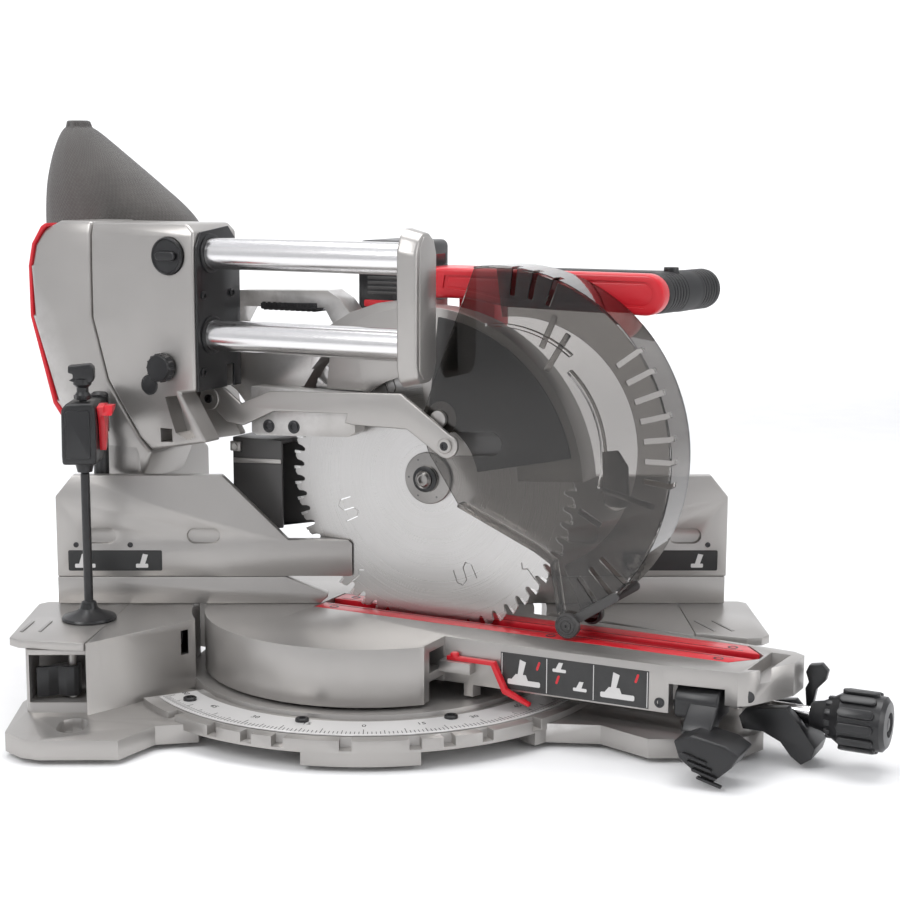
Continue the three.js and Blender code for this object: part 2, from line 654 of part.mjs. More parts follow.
// ---- saw head ----------------------------------------------------------------------------
function headCasting() {
  const [cx, cz] = CHOP_AXIS;
  const [ax, az] = ARBOR;
  const [mx, mz] = MOTOR_AXIS;
  const knuckle = rod([cx, -52.5, cz], [cx, 3.5, cz], 17, 28);
  const rear = alongY([[cx, cz + 16], [-150, 262], [-60, 264], [-60, 176], [-100, 172], [-122, 172],
    [-152, 206], [cx, cz - 16]], -48, 3.5);
  const strip = alongY([[-118, 214], [-118, 169], [-112, 166], [-8, 171.5], [0, 176], [0, 214]],
    -48, 28);
  const roof = alongY([[-60, 264], [-15, 290], [15, 300], [60, 302], [60, 262], [0, 232],
    [-60, 214]].reverse(), -48, 9);
  const gearbox = join(rod([ax, -70, az], [ax, -28.5, az], 40, 32),
    alongY([[26, 130], [108, 130], [130, 200], [118, 262], [30, 286], [20, 230]], -70, -28.5),
    rod([ax, -29, az], [ax, -19, az], 24, 28), box(-60, 40, -60, -28.5, 214, 262));
  let casting = join(knuckle, rear, strip, roof, gearbox, carryHandle());
  // Room for the blade, the fixed guard round it, and the swinging guard in front.
  const bladeRoom = rod([ax, -18.5, az], [ax, 9.5, az], BLADE_R + 8, 48);
  const frontRoom = cut(box(1, 400, -29, 40, -100, 236), rod([ax, -40, az], [ax, 40, az], 26, 28));
  const guardWall = cut(alongY(disc(ARBOR, 178, 48), 9.4, 40), box(-200, 1, 0, 50, 0, 400));
  casting = cut(casting, bladeRoom, frontRoom, guardWall);
  casting = cut(casting, rod([cx, -80, cz], [cx, 30, cz], 8.4));
  // Room for spindle, pulleys and belt.
  return cut(casting, rod([ax, -80, az], [ax, 0, az], 11),
    alongY(beltOutline(27, 20), -62, -38), rod([mx, -80, mz], [mx, -36, mz], 12));
}

function beltOutline(bigR, smallR) {
  const [ax, az] = ARBOR;
  const [mx, mz] = MOTOR_AXIS;
  const tilt = Math.atan2(mz - az, mx - ax) / RAD;
  const reach = Math.hypot(mx - ax, mz - az);
  const lean = Math.acos((bigR - smallR) / reach) / RAD;
  return [...arc([mx, mz], smallR, tilt - lean, tilt + lean, 12),
    ...arc([ax, az], bigR, tilt + lean, tilt + 360 - lean, 18)];
}

function driveBelt() {
  const outer = alongY(beltOutline(25, 18), -56, -44);
  return cut(outer, alongY(beltOutline(22.4, 15.4), -60, -40));
}

function fixedGuard() {
  const [ax, az] = ARBOR;
  const wall = [...arc(ARBOR, FIXED_GUARD_R, 4, 128, 28), [-34, 264], [-40, 214], [4, 214],
    ...arc(ARBOR, 100, 128, 4, 18)];
  const left = alongY(wall, 10, 14);
  const rightWall = [...arc(ARBOR, FIXED_GUARD_R, 4, 128, 28), [-34, 264], [-40, 216],
    ...arc(ARBOR, 60, 128, 4, 12)];
  const right = alongY(rightWall, -18, -14.5);
  const rimShape = [...arc(ARBOR, FIXED_GUARD_R, 4, 128, 28),
    ...arc(ARBOR, FIXED_GUARD_R - 4, 128, 4, 28)];
  const rim = alongY(rimShape, -18, 14);
  let guard = join(left, right, rim);
  const boss = join(alongY([...arc(GUARD_PIVOT, 16, 0, 360, 20).slice(0, -1)], 10, 18),
    alongY([[70, 196], [106, 196], [112, 250], [60, 250]], 10, 14));
  guard = join(guard, boss, rod([GUARD_PIVOT[0], 12, GUARD_PIVOT[1]],
    [GUARD_PIVOT[0], 26.5, GUARD_PIVOT[1]], 8, 24));
  return cut(guard, headKeepOut());
}

// Space that belongs to the head casting, a little larger than it.
function headKeepOut() {
  return join(box(-200, 1.4, -49, 29, 150, 215),
    alongY([[-180, 268], [-62, 268.5], [-15, 294], [15, 304], [61, 306], [61, 257], [0, 228],
      [-60, 209]].reverse(), -49, 9.4),
    box(-200, -59, -49, 9.4, 150, 268));
}

function motorHousing() {
  const [x, z] = MOTOR_AXIS;
  const body = turned([[0, 0], [MOTOR_R, 0], [MOTOR_R, 62], [MOTOR_R - 4, 70], [MOTOR_R - 12, 76],
    [0, 76]], [x, -70.4, z], [0, -1, 0], 28);
  return cut(body, rod([x, -69, z], [x, -140, z], MOTOR_R - 4, 24));
}

function motorRotor() {
  const [x, z] = MOTOR_AXIS;
  return turned([[0, 0], [8, 0], [8, 0.3], [15, 0.3], [15, 16], [10, 16], [10, 24], [5, 24],
    [5, 36], [30, 36], [30, 76], [5, 76], [5, 88], [0, 88]], [x, -42.5, z], [0, -1, 0], 16);
}

function motorStator() {
  const [x, z] = MOTOR_AXIS;
  return turned([[31, 0], [42.4, 0], [42.4, 34], [31, 34], [31, 0]], [x, -82, z], [0, -1, 0], 20);
}

function carryHandle() {
  const outer = [[-189, 268], [-182, 292], [-168, 304], [-62, 307], [-48, 299], [-16, 262],
    [-40, 262], [-52, 268], [-66, 290], [-162, 288], [-174, 268]];
  const loop = alongY([...outer].reverse(), -54, -26);
  const foot = alongY([[-189, 262], [-174, 262], [-174, 270], [-189, 270]], -54, -26);
  const base = box(-189, -20, -54, -26, 262, 270);
  return join(loop, foot, base);
}

function mainHandle() {
  const near = alongY([...arc([270, 314], 19, -90, 90, 8), [90, 334], [60, 334], [20, 322],
    [20, 304], [90, 304], [130, 298]], -47, -30);
  const cross = alongZ([[30, -56], [62, -56], [62, -40], [30, -40]], 303, 330);
  const dock = box(18, 62, -136, -50, 303.5, 330);
  const post = box(60, 100, -104, -72, 259.5, 306);
  return join(near, cross, dock, post);
}

function handleGrip() {
  const sleeve = [[0, 0], [18, 0], [19, 4], [19, 93], [17, 99], [0, 99]];
  const bar = turned(sleeve, GRIP, [0.16, -1, 0], 28);
  const far = alongZ([[62.4, -136], [62.4, -122], [240, -128], [284, -140], [284, -152],
    [240, -148]], 312, 330);
  const slot = box(230, 275, -103, -60, GRIP[2] - 10, GRIP[2] + 10);
  const well = rod([BUTTON[0], BUTTON[1], GRIP[2] + 13], [BUTTON[0], BUTTON[1], 345], 7.4, 16);
  return cut(join(bar, far), slot, well);
}

function trigger() {
  const plan = [[234, -84], [242, -101], [266, -99], [264, -63], [238, -66]];
  return alongZ(plan, GRIP[2] - 8.5, GRIP[2] + 8.5);
}

function lockOffButton() {
  return rod([BUTTON[0], BUTTON[1], GRIP[2] + 16.5], [BUTTON[0], BUTTON[1], GRIP[2] + 23], 7, 16);
}

function battery() {
  return alongY(rounded(-48, 17, 272, 356, 6), -136, -60);
}

// ---- blade and spindle -------------------------------------------------------------------
function blade() {
  const [ax, az] = ARBOR;
  const points = [];
  const pitch = 360 / TEETH;
  for (let i = 0; i < TEETH; i += 1) {
    const t = -i * pitch;
    const at = (r, offset) => {
      const s = (t + offset) * RAD;
      return [ax + r * Math.cos(s), az + r * Math.sin(s)];
    };
    points.push(at(BLADE_R, 0), at(BLADE_R - 2.5, -pitch * 0.5), at(BLADE_R - 9, -pitch * 0.8));
  }
  const plate = alongY(points.reverse(), -BLADE_HALF, BLADE_HALF);
  return cut(plate, rod([ax, -5, az], [ax, 5, az], 15.2, 24));
}

function arbor() {
  const [x, z] = ARBOR;
  const profile = [[0, 0], [7, 0], [7, 4], [13, 4], [13, 6.5], [25, 8], [25, 11.2], [15, 11.2],
    [15, 14.6], [21, 14.6], [21, 18], [10, 18], [10, 58.6], [22, 58.6], [22, 69.4], [10, 69.4],
    [10, 80], [0, 80]];
  return turned(profile, [x, 12.9, z], [0, -1, 0], 20);
}

// ---- swinging guard ----------------------------------------------------------------------
function swingGuard() {
  const c = GUARD_CENTRE;
  const inner = GUARD_R - 3;
  const wallShape = [...arc(c, GUARD_R, -66, 98, 44), [76, 213], [68, 190], [77, 162], [108, 116],
    [188, 81], [206, 70], [214, 22]];
  const left = alongY(wallShape, 20, 23);
  const band = [...arc(c, GUARD_R, -66, 98, 44), ...arc(c, 122, 98, -66, 30)];
  const right = alongY(band, -27, -24);
  const rimShape = [...arc(c, GUARD_R, -66, 98, 44), ...arc(c, inner, 98, -66, 44)];
  let guard = join(left, right, alongY(rimShape, -27, 23));
  const ear = alongY(slotOutline(ROLLER, [226, 50], 9), 20, 23);
  const farEar = alongY(slotOutline(ROLLER, [226, 50], 9), -27, -24);
  guard = join(guard, ear, farEar);
  const [px, pz] = GUARD_PIVOT;
  const [rx, rz] = ROLLER;
  return cut(guard, rod([px, 0, pz], [px, 40, pz], 8.5, 24),
    rod([rx, -40, rz], [rx, 40, rz], 3.5, 12));
}

function guardRollers() {
  const [x, z] = ROLLER;
  const tyre = [[0, 0], [11.2, 0], [11.7, 1], [11.7, 6], [11.2, 7], [0, 7]];
  const wheel = (y) => turned(tyre, [x, y, z], [0, 1, 0], 28);
  return join(rod([x, -33, z], [x, 30, z], 3, 16), wheel(23.5), wheel(-34.5));
}

function guardLink() {
  const shape = [[-176, 200], [-173, 209], [-163, 213], [-147, 211.5], [-127, 197], [-93, 211.5],
    [53, 218], [104, 183], ...arc(LINK_PIN, 12, 40, -120, 8), [60, 184.5], [2, 184.5],
    [-8, 186], [-5, 195],
    [-88, 192], [-112, 181], [-125, 175.5], [-144, 178], [-157, 190], [-172, 191]];
  const bar = alongY([...shape].reverse(), 29.5, 34.5);
  const [x, z] = LINK_PIVOT;
  const eye = rod([x, 29.5, z], [x, 36, z], 11, 20);
  const drilled = cut(join(bar, eye), rod([x, 20, z], [x, 50, z], 5.4, 16));
  const pin = rod([LINK_PIN[0], 30, LINK_PIN[1]], [LINK_PIN[0], 38, LINK_PIN[1]], 7, 16);
  return join(drilled, pin);
}

// ---- finishes ----------------------------------------------------------------------------
const FINISH = {
  castAluminium: { color: 0xb8b3ae, roughness: 0.45, metalness: 0.55 },
  steel: { color: 0xd5d5d4, roughness: 0.25, metalness: 0.95 },
  darkSteel: { color: 0x3a3a3c, roughness: 0.4, metalness: 0.8 },
  blackPlastic: { color: 0x1b1b1c, roughness: 0.55, metalness: 0 },
  greyPlastic: { color: 0x3f3d3c, roughness: 0.5, metalness: 0 },
  redPlastic: { color: 0xc2232b, roughness: 0.4, metalness: 0 },
  smoke: { color: 0x55514e, roughness: 0.1, metalness: 0 },
  rubber: { color: 0x161616, roughness: 0.8, metalness: 0 },
  mesh: { color: 0x4b4845, roughness: 0.9, metalness: 0 },
};

function piece(name, body, finish) {
  const geometry = toGeometry(body);
  geometry.computeVertexNormals();
  const part = new THREE.Mesh(geometry, new THREE.MeshStandardMaterial(FINISH[finish]));
  part.name = name;
  return part;
}

// A piece drawn in the arm's left-handed frame, turned over into the group's right-handed one.
function armPiece(name, body, finish) {
  const part = piece(name, body, finish);
  const corners = part.geometry.index.array;
  for (let i = 0; i < corners.length; i += 3) {
    [corners[i], corners[i + 1]] = [corners[i + 1], corners[i]];
  }
  part.geometry.applyMatrix4(new THREE.Matrix4().makeScale(1, -1, 1));
  part.geometry.computeVertexNormals();
  return part;
}

// ---- the saw -----------------------------------------------------------------------------
const bench = new THREE.Group();
bench.position.z = TABLE;
bench.add(
  piece('base_casting', baseCasting(), 'castAluminium'),
  piece('turntable_bolt', pivotBolt(), 'darkSteel'),
  piece('miter_scale', miterScale(), 'steel'),
  piece('left_low_fence', leftLowFence(), 'castAluminium'),
  piece('right_low_fence', rightLowFence(), 'castAluminium'),
  piece('left_fence', leftFence(), 'castAluminium'),
  piece('right_fence', rightFence(), 'castAluminium'),
  piece('left_extension', leftExtension(), 'castAluminium'),
  piece('right_extension', rightExtension(), 'castAluminium'),
  piece('left_extension_lock', lockLever(LEFT_LOCK), 'blackPlastic'),
  piece('right_extension_lock', lockLever(RIGHT_LOCK), 'blackPlastic'),
  piece('clamp_post', clampPost(), 'blackPlastic'),
  piece('clamp_screw', clampScrew(), 'blackPlastic'),
  piece('clamp_lever', clampLever(), 'redPlastic'),
);

for (const [name, spot] of Object.entries(PADS)) {
  bench.add(piece(`rubber_foot_${name}`, rubberFoot(spot), 'rubber'));
}

const arm = new THREE.Group();
arm.position.z = TABLE;
arm.rotation.z = (MITRE_REST - 90) * RAD;
arm.add(
  armPiece('turntable', turntable(), 'castAluminium'),
  armPiece('left_kerf_insert', kerfInsert(1), 'redPlastic'),
  armPiece('right_kerf_insert', kerfInsert(-1), 'redPlastic'),
  armPiece('miter_pointer', miterPointer(), 'redPlastic'),
  armPiece('detent_bar', detentBar(), 'darkSteel'),
  armPiece('miter_lock_knob', lockKnob(), 'blackPlastic'),
  armPiece('detent_pedal', pedal(), 'blackPlastic'),
  armPiece('detent_lever', detentLever(), 'blackPlastic'),
  armPiece('bevel_stop_lever', hookLever(), 'blackPlastic'),
  armPiece('bevel_arm', bevelArm(), 'castAluminium'),
  armPiece('rear_cover', rearCover(), 'redPlastic'),
  armPiece('upper_rail', rail(RAIL_TOP_Z), 'steel'),
  armPiece('lower_rail', rail(RAIL_LOW_Z), 'steel'),
  armPiece('rail_end_cap', railEndCap(), 'castAluminium'),
  armPiece('bevel_bolt', bevelBolt(), 'darkSteel'),
  armPiece('bevel_lock', bevelLock(), 'blackPlastic'),
  armPiece('carriage', carriage(), 'castAluminium'),
  armPiece('carriage_front_plate', frontPlate(), 'blackPlastic'),
  armPiece('upper_slide_bush', slideBush(RAIL_TOP_Z), 'darkSteel'),
  armPiece('lower_slide_bush', slideBush(RAIL_LOW_Z), 'darkSteel'),
  armPiece('slide_lock_knob', slideLockKnob(), 'blackPlastic'),
  armPiece('head_lock_pin', headLockPin(), 'blackPlastic'),
  armPiece('chop_axle', chopAxle(), 'darkSteel'),
  armPiece('dust_elbow', dustElbow(), 'blackPlastic'),
  armPiece('dust_bag', dustBag(), 'mesh'),
  armPiece('head_casting', headCasting(), 'castAluminium'),
  armPiece('fixed_guard', fixedGuard(), 'castAluminium'),
  armPiece('motor_housing', motorHousing(), 'greyPlastic'),
  armPiece('motor_stator', motorStator(), 'darkSteel'),
  armPiece('motor_rotor', motorRotor(), 'darkSteel'),
  armPiece('drive_belt', driveBelt(), 'rubber'),
  armPiece('main_handle', mainHandle(), 'redPlastic'),
  armPiece('handle_grip', handleGrip(), 'rubber'),
  armPiece('trigger', trigger(), 'redPlastic'),
  armPiece('lock_off_button', lockOffButton(), 'redPlastic'),
  armPiece('battery', battery(), 'blackPlastic'),
  armPiece('dust_chute', dustChute(), 'rubber'),
  armPiece('blade', blade(), 'steel'),
  armPiece('arbor', arbor(), 'darkSteel'),
  armPiece('swing_guard', swingGuard(), 'smoke'),
  armPiece('guard_rollers', guardRollers(), 'rubber'),
  armPiece('guard_link', guardLink(), 'castAluminium'),
);

const saw = new THREE.Group();
saw.name = 'sliding_mitre_saw';
saw.add(bench, arm);
export default saw;
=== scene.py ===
import json
from math import atan2, cos, radians, sin, tau

import bmesh
import bpy
from mathutils import Matrix, Vector

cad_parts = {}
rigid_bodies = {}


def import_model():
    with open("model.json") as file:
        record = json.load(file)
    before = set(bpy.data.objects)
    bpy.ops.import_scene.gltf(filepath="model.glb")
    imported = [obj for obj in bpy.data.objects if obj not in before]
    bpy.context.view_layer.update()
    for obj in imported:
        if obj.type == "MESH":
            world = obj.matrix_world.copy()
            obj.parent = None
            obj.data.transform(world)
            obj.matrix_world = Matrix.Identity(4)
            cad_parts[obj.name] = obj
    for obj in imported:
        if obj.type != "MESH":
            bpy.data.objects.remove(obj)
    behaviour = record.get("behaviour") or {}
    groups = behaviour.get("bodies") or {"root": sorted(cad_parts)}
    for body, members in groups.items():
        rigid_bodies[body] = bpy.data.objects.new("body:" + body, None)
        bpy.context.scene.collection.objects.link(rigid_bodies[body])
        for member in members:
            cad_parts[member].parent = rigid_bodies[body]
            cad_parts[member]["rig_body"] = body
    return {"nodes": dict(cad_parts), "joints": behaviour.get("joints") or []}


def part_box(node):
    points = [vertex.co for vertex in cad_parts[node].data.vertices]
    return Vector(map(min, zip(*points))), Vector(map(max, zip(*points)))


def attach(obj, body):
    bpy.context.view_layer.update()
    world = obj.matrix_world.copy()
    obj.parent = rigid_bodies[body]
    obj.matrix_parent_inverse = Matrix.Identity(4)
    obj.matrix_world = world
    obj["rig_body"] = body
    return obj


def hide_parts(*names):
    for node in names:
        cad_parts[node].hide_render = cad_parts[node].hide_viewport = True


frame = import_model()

bl_info = {
    "name": "Sliding Miter Saw",
    "version": (1, 0, 0),
    "blender": (4, 5, 0),
    "location": "View3D > Sidebar > Miter Saw",
    "description": "Builds the finished surfaces of a cordless sliding miter saw round its frame",
    "category": "Object",
}

# ---- the saw's frame ---------------------------------------------------------------------
# Shapes are drawn in millimetres. The bench frame is x to the right, y to the back and a
# height above the table. The arm frame is a, forward along the arm; l, to the left of the
# blade as the operator stands; and the same height.
MM = 0.001
JOINTS = {joint["name"]: joint for joint in frame["joints"]}
FORWARD = Vector(JOINTS["carriage_slide"]["axis"]).normalized()
LEFT = Vector(JOINTS["chop"]["axis"]).normalized()
UP = Vector((0, 0, 1))
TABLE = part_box("left_kerf_insert")[1].z


def at(a, l, h):
    """A point of the arm frame, in the row frame's metres."""
    return FORWARD * (a * MM) + LEFT * (l * MM) + UP * (TABLE + h * MM)


def on_bench(x, y, h):
    """A point of the bench frame, in the row frame's metres."""
    return Vector((x * MM, y * MM, TABLE + h * MM))


def in_arm(point):
    """A row frame point as its arm frame numbers."""
    return point.dot(FORWARD) / MM, point.dot(LEFT) / MM, (point.z - TABLE) / MM


def pivot(name):
    """Where a hinge turns, as arm frame forward and height."""
    a, _, h = in_arm(Vector(JOINTS[name]["pos_m"]))
    return a, h


ARBOR = pivot("blade_spin")
GUARD_PIVOT = pivot("guard_swing")
MOTOR_AXIS = pivot("rotor_spin")
ROLLER = pivot("roller_spin")
GUARD_CENTRE = (147, 168)
GUARD_R = 172
BLADE_R = 152.5
RAILS = (345.6, 266.9)
RAIL_L = 63.9
CHOP = pivot("chop")


# ---- settings ----------------------------------------------------------------------------
class SawSizes(bpy.types.PropertyGroup):
    casting_edge: bpy.props.FloatProperty(
        name="Casting edge", description="Rounding on the castings' edges",
        default=0.0011, unit="LENGTH")
    plastic_edge: bpy.props.FloatProperty(
        name="Plastic edge", description="Rounding on the mouldings' edges",
        default=0.0007, unit="LENGTH")
    weave_pitch: bpy.props.FloatProperty(
        name="Weave pitch", description="Distance between the bag's threads",
        default=0.0021, unit="LENGTH")
    teeth: bpy.props.IntProperty(
        name="Teeth", description="Teeth round the blade", default=60, min=24, max=96)


class SawColours(bpy.types.PropertyGroup):
    silver: bpy.props.FloatVectorProperty(
        name="Silver", description="Paint on the castings", subtype="COLOR",
        size=3, default=(0.40, 0.385, 0.37))
    red: bpy.props.FloatVectorProperty(
        name="Red", description="Red mouldings", subtype="COLOR",
        size=3, default=(0.56, 0.012, 0.022))
    black: bpy.props.FloatVectorProperty(
        name="Black", description="Black mouldings", subtype="COLOR",
        size=3, default=(0.012, 0.012, 0.013))
    smoke: bpy.props.FloatVectorProperty(
        name="Smoke", description="Tint of the clear guard", subtype="COLOR",
        size=3, default=(0.36, 0.345, 0.33))
    cloth: bpy.props.FloatVectorProperty(
        name="Cloth", description="Thread of the dust bag", subtype="COLOR",
        size=3, default=(0.105, 0.098, 0.092))


def sizes():
    return bpy.context.scene.saw_sizes


def colours():
    return bpy.context.scene.saw_colours


# ---- shader node groups ------------------------------------------------------------------
class Wiring:
    """Adds nodes to a tree and links them, from left to right."""

    def __init__(self, tree):
        self.tree = tree
        self.column = 0

    def add(self, kind, values=None, **settings):
        node = self.tree.nodes.new(kind)
        node.location = (self.column * 190, 0)
        self.column += 1
        for key, value in settings.items():
            setattr(node, key, value)
        for key, value in (values or {}).items():
            if isinstance(value, bpy.types.NodeSocket):
                self.tree.links.new(value, node.inputs[key])
            else:
                node.inputs[key].default_value = value
        return node

    def math(self, operation, first, second=0.0, clamp=False):
        node = self.add("ShaderNodeMath", {0: first, 1: second}, operation=operation)
        node.use_clamp = clamp
        return node.outputs[0]

    def noise(self, vector, scale, detail=2.0, roughness=0.5):
        node = self.add("ShaderNodeTexNoise", {
            "Vector": vector, "Scale": scale, "Detail": detail, "Roughness": roughness})
        return node.outputs["Fac"]

    def spread(self, value, low, high, to_low=0.0, to_high=1.0):
        node = self.add("ShaderNodeMapRange", {
            "Value": value, "From Min": low, "From Max": high,
            "To Min": to_low, "To Max": to_high})
        return node.outputs["Result"]

    def mix(self, factor, first, second):
        node = self.add("ShaderNodeMix", data_type="RGBA")
        self.tree.links.new(factor, node.inputs[0])
        for socket, value in ((node.inputs[6], first), (node.inputs[7], second)):
            if isinstance(value, bpy.types.NodeSocket):
                self.tree.links.new(value, socket)
            else:
                socket.default_value = value
        return node.outputs[2]


def group(name, inputs, outputs, build):
    """A shader node group, built once; build gets its wiring and inputs and returns outputs."""
    tree = bpy.data.node_groups.get(name)
    if tree:
        return tree
    tree = bpy.data.node_groups.new(name, "ShaderNodeTree")
    for label, kind, default in inputs:
        socket = tree.interface.new_socket(label, in_out="INPUT", socket_type=kind)
        socket.default_value = default
    for label, kind in outputs:
        tree.interface.new_socket(label, in_out="OUTPUT", socket_type=kind)
    wiring = Wiring(tree)
    source = wiring.add("NodeGroupInput")
    results = build(wiring, source.outputs)
    sink = wiring.add("NodeGroupOutput")
    for (label, _), result in zip(outputs, results):
        tree.links.new(result, sink.inputs[label])
    return tree


FLOAT = "NodeSocketFloat"
COLOUR = "NodeSocketColor"


def grain_group():
    """Fine grain of a cast or moulded skin, with a slow mottle over it."""
    def build(w, given):
        where = w.add("ShaderNodeTexCoord").outputs["Object"]
        fine = w.noise(where, given["Scale"], 3.0, 0.6)
        slow = w.noise(where, 14.0, 2.0)
        height = w.math("MULTIPLY", fine, given["Depth"])
        mottle = w.spread(slow, 0.35, 0.65)
        return height, mottle
    return group("Skin Grain", [("Scale", FLOAT, 900.0), ("Depth", FLOAT, 1.0)],
                 [("Height", FLOAT), ("Mottle", FLOAT)], build)


def wear_group():
    """Mask of rubbed edges, broken up by noise."""
    def build(w, given):
        where = w.add("ShaderNodeTexCoord").outputs["Object"]
        bend = w.add("ShaderNodeNewGeometry").outputs["Pointiness"]
        edge = w.spread(bend, 0.60, 0.74)
        broken = w.spread(w.noise(where, 60.0, 4.0, 0.6), 0.1, 0.6)
        mask = w.math("MULTIPLY", w.math("MULTIPLY", edge, broken), given["Amount"], True)
        return (mask,)
    return group("Edge Wear", [("Amount", FLOAT, 0.5)], [("Mask", FLOAT)], build)


def dust_group():
    """Fine sawdust that settles on faces that look up."""
    def build(w, given):
        where = w.add("ShaderNodeTexCoord").outputs["Object"]
        normal = w.add("ShaderNodeNewGeometry").outputs["Normal"]
        height = w.add("ShaderNodeSeparateXYZ", {0: normal}).outputs["Z"]
        flat = w.spread(height, 0.6, 1.0)
        patch = w.spread(w.noise(where, 35.0, 5.0, 0.7), 0.45, 0.8)
        mask = w.math("MULTIPLY", w.math("MULTIPLY", flat, patch), given["Amount"], True)
        return (mask,)
    return group("Settled Dust", [("Amount", FLOAT, 0.1)], [("Mask", FLOAT)], build)


def brushed_group():
    """Streaks along one direction: the pattern is stretched along the local X axis."""
    def build(w, given):
        where = w.add("ShaderNodeTexCoord").outputs["Object"]
        turned = w.add("ShaderNodeMapping", {"Vector": where})
        turned.inputs["Rotation"].default_value = (0, 0, -atan2(FORWARD.y, FORWARD.x))
        turned.inputs["Scale"].default_value = (6, 900, 900)
        streak = w.noise(turned.outputs[0], given["Scale"], 4.0, 0.65)
        return w.math("MULTIPLY", streak, given["Depth"]), streak
    return group("Brushed Streaks", [("Scale", FLOAT, 1.0), ("Depth", FLOAT, 1.0)],
                 [("Height", FLOAT), ("Streak", FLOAT)], build)


def weave_group():
    """Plain weave from a map in metres: two sets of threads, one over and one under."""
    def build(w, given):
        place = w.add("ShaderNodeUVMap", uv_map="weave").outputs[0]
        parts = w.add("ShaderNodeSeparateXYZ", {0: place}).outputs
        per_metre = w.math("DIVIDE", tau, given["Pitch"])
        across = w.math("MULTIPLY", parts["X"], per_metre)
        along = w.math("MULTIPLY", parts["Y"], per_metre)
        warp = w.math("ABSOLUTE", w.math("SINE", across))
        weft = w.math("ABSOLUTE", w.math("SINE", along))
        over = w.math("MULTIPLY", w.math("SINE", w.math("MULTIPLY", across, 0.5)),
                      w.math("SINE", w.math("MULTIPLY", along, 0.5)))
        lift = w.spread(over, -1.0, 1.0)
        height = w.math("MULTIPLY", w.math("MULTIPLY", warp, weft), lift)
        hole = w.spread(w.math("MULTIPLY", warp, weft), 0.02, 0.35)
        return height, hole
    return group("Plain Weave", [("Pitch", FLOAT, 0.002)],
                 [("Height", FLOAT), ("Thread", FLOAT)], build)


def disc_group():
    """Fine rings round the blade's centre, left by grinding."""
    def build(w, given):
        where = w.add("ShaderNodeTexCoord").outputs["Object"]
        moved = w.add("ShaderNodeVectorMath", {0: where, 1: at(ARBOR[0], 0, ARBOR[1])},
                      operation="SUBTRACT").outputs[0]
        radius = w.add("ShaderNodeVectorMath", {0: moved}, operation="LENGTH").outputs["Value"]
        line = w.add("ShaderNodeCombineXYZ", {0: w.math("MULTIPLY", radius, given["Rings"])})
        ring = w.noise(line.outputs[0], 1.0, 4.0, 0.7)
        return ring, w.spread(w.noise(where, 22.0, 3.0), 0.4, 0.7)
    return group("Ground Rings", [("Rings", FLOAT, 900.0)],
                 [("Ring", FLOAT), ("Cloud", FLOAT)], build)


# ---- materials ---------------------------------------------------------------------------
def rgba(colour, gain=1.0):
    return (colour[0] * gain, colour[1] * gain, colour[2] * gain, 1.0)


def new_material(name, **settings):
    """A material with its wiring and its Principled shader, constants already set."""
    material = bpy.data.materials.new(name)
    material.use_nodes = True
    wiring = Wiring(material.node_tree)
    shader = material.node_tree.nodes["Principled BSDF"]
    for key, value in settings.items():
        shader.inputs[key.replace("_", " ").title().replace("Ior", "IOR")].default_value = value
    return material, wiring, shader


def bump(wiring, shader, height, distance, strength=1.0):
    node = wiring.add("ShaderNodeBump", {
        "Height": height, "Distance": distance, "Strength": strength})
    wiring.tree.links.new(node.outputs[0], shader.inputs["Normal"])


def place_group(wiring, tree, **values):
    return wiring.add("ShaderNodeGroup", values, node_tree=tree).outputs


def join(wiring, output, socket):
    wiring.tree.links.new(output, socket)


def painted(name, colour, metallic, rough, grain_scale, depth, highlight_amount, highlight_colour, dust):
    """A skin with grain, mottled gloss, rubbed edges and a breath of dust."""
    material, w, shader = new_material(name, metallic=metallic)
    grain = place_group(w, grain_group(), Scale=grain_scale)
    edge_highlight_mask = place_group(w, wear_group(), Amount=highlight_amount)["Mask"]
    dusty = place_group(w, dust_group(), Amount=dust)["Mask"]
    shade = w.mix(grain["Mottle"], rgba(colour, 0.975), rgba(colour, 1.025))
    # sharp edges mixed towards a lighter colour: a painted highlight
    highlighted = w.mix(edge_highlight_mask, shade, highlight_colour)
    join(w, w.mix(dusty, highlighted, (0.42, 0.36, 0.28, 1)), shader.inputs["Base Color"])
    gloss = w.spread(grain["Mottle"], 0.0, 1.0, rough * 0.96, rough * 1.05)
    join(w, w.math("ADD", gloss, w.math("MULTIPLY", dusty, 0.3), True), shader.inputs["Roughness"])
    bump(w, shader, grain["Height"], depth)
    return material


def metal(name, colour, rough, streak):
    """Bright metal with streaks along the arm."""
    material, w, shader = new_material(name, metallic=1.0)
    lines = place_group(w, brushed_group())
    edge_highlight_mask = place_group(w, wear_group(), Amount=0.4)["Mask"]
    shade = w.mix(lines["Streak"], rgba(colour, 0.86), rgba(colour, 1.06))
    # sharp edges mixed towards near white: a painted highlight
    join(w, w.mix(edge_highlight_mask, shade, rgba((0.92, 0.92, 0.92))), shader.inputs["Base Color"])
    join(w, w.spread(lines["Streak"], 0.3, 0.7, rough - streak, rough + streak),
         shader.inputs["Roughness"])
    bump(w, shader, lines["Height"], 0.00003, 0.6)
    return material


def blade_steel():
    material, w, shader = new_material("Ground Blade", metallic=1.0, anisotropic=0.5)
    rings = place_group(w, disc_group())
    shade = w.mix(rings["Ring"], (0.40, 0.39, 0.38, 1), (0.62, 0.61, 0.60, 1))
    join(w, w.mix(w.math("MULTIPLY", rings["Cloud"], 0.35), shade, (0.56, 0.55, 0.545, 1)),
         shader.inputs["Base Color"])
    join(w, w.spread(rings["Ring"], 0.3, 0.7, 0.24, 0.36), shader.inputs["Roughness"])
    bump(w, shader, rings["Ring"], 0.00009, 1.0)
    return material


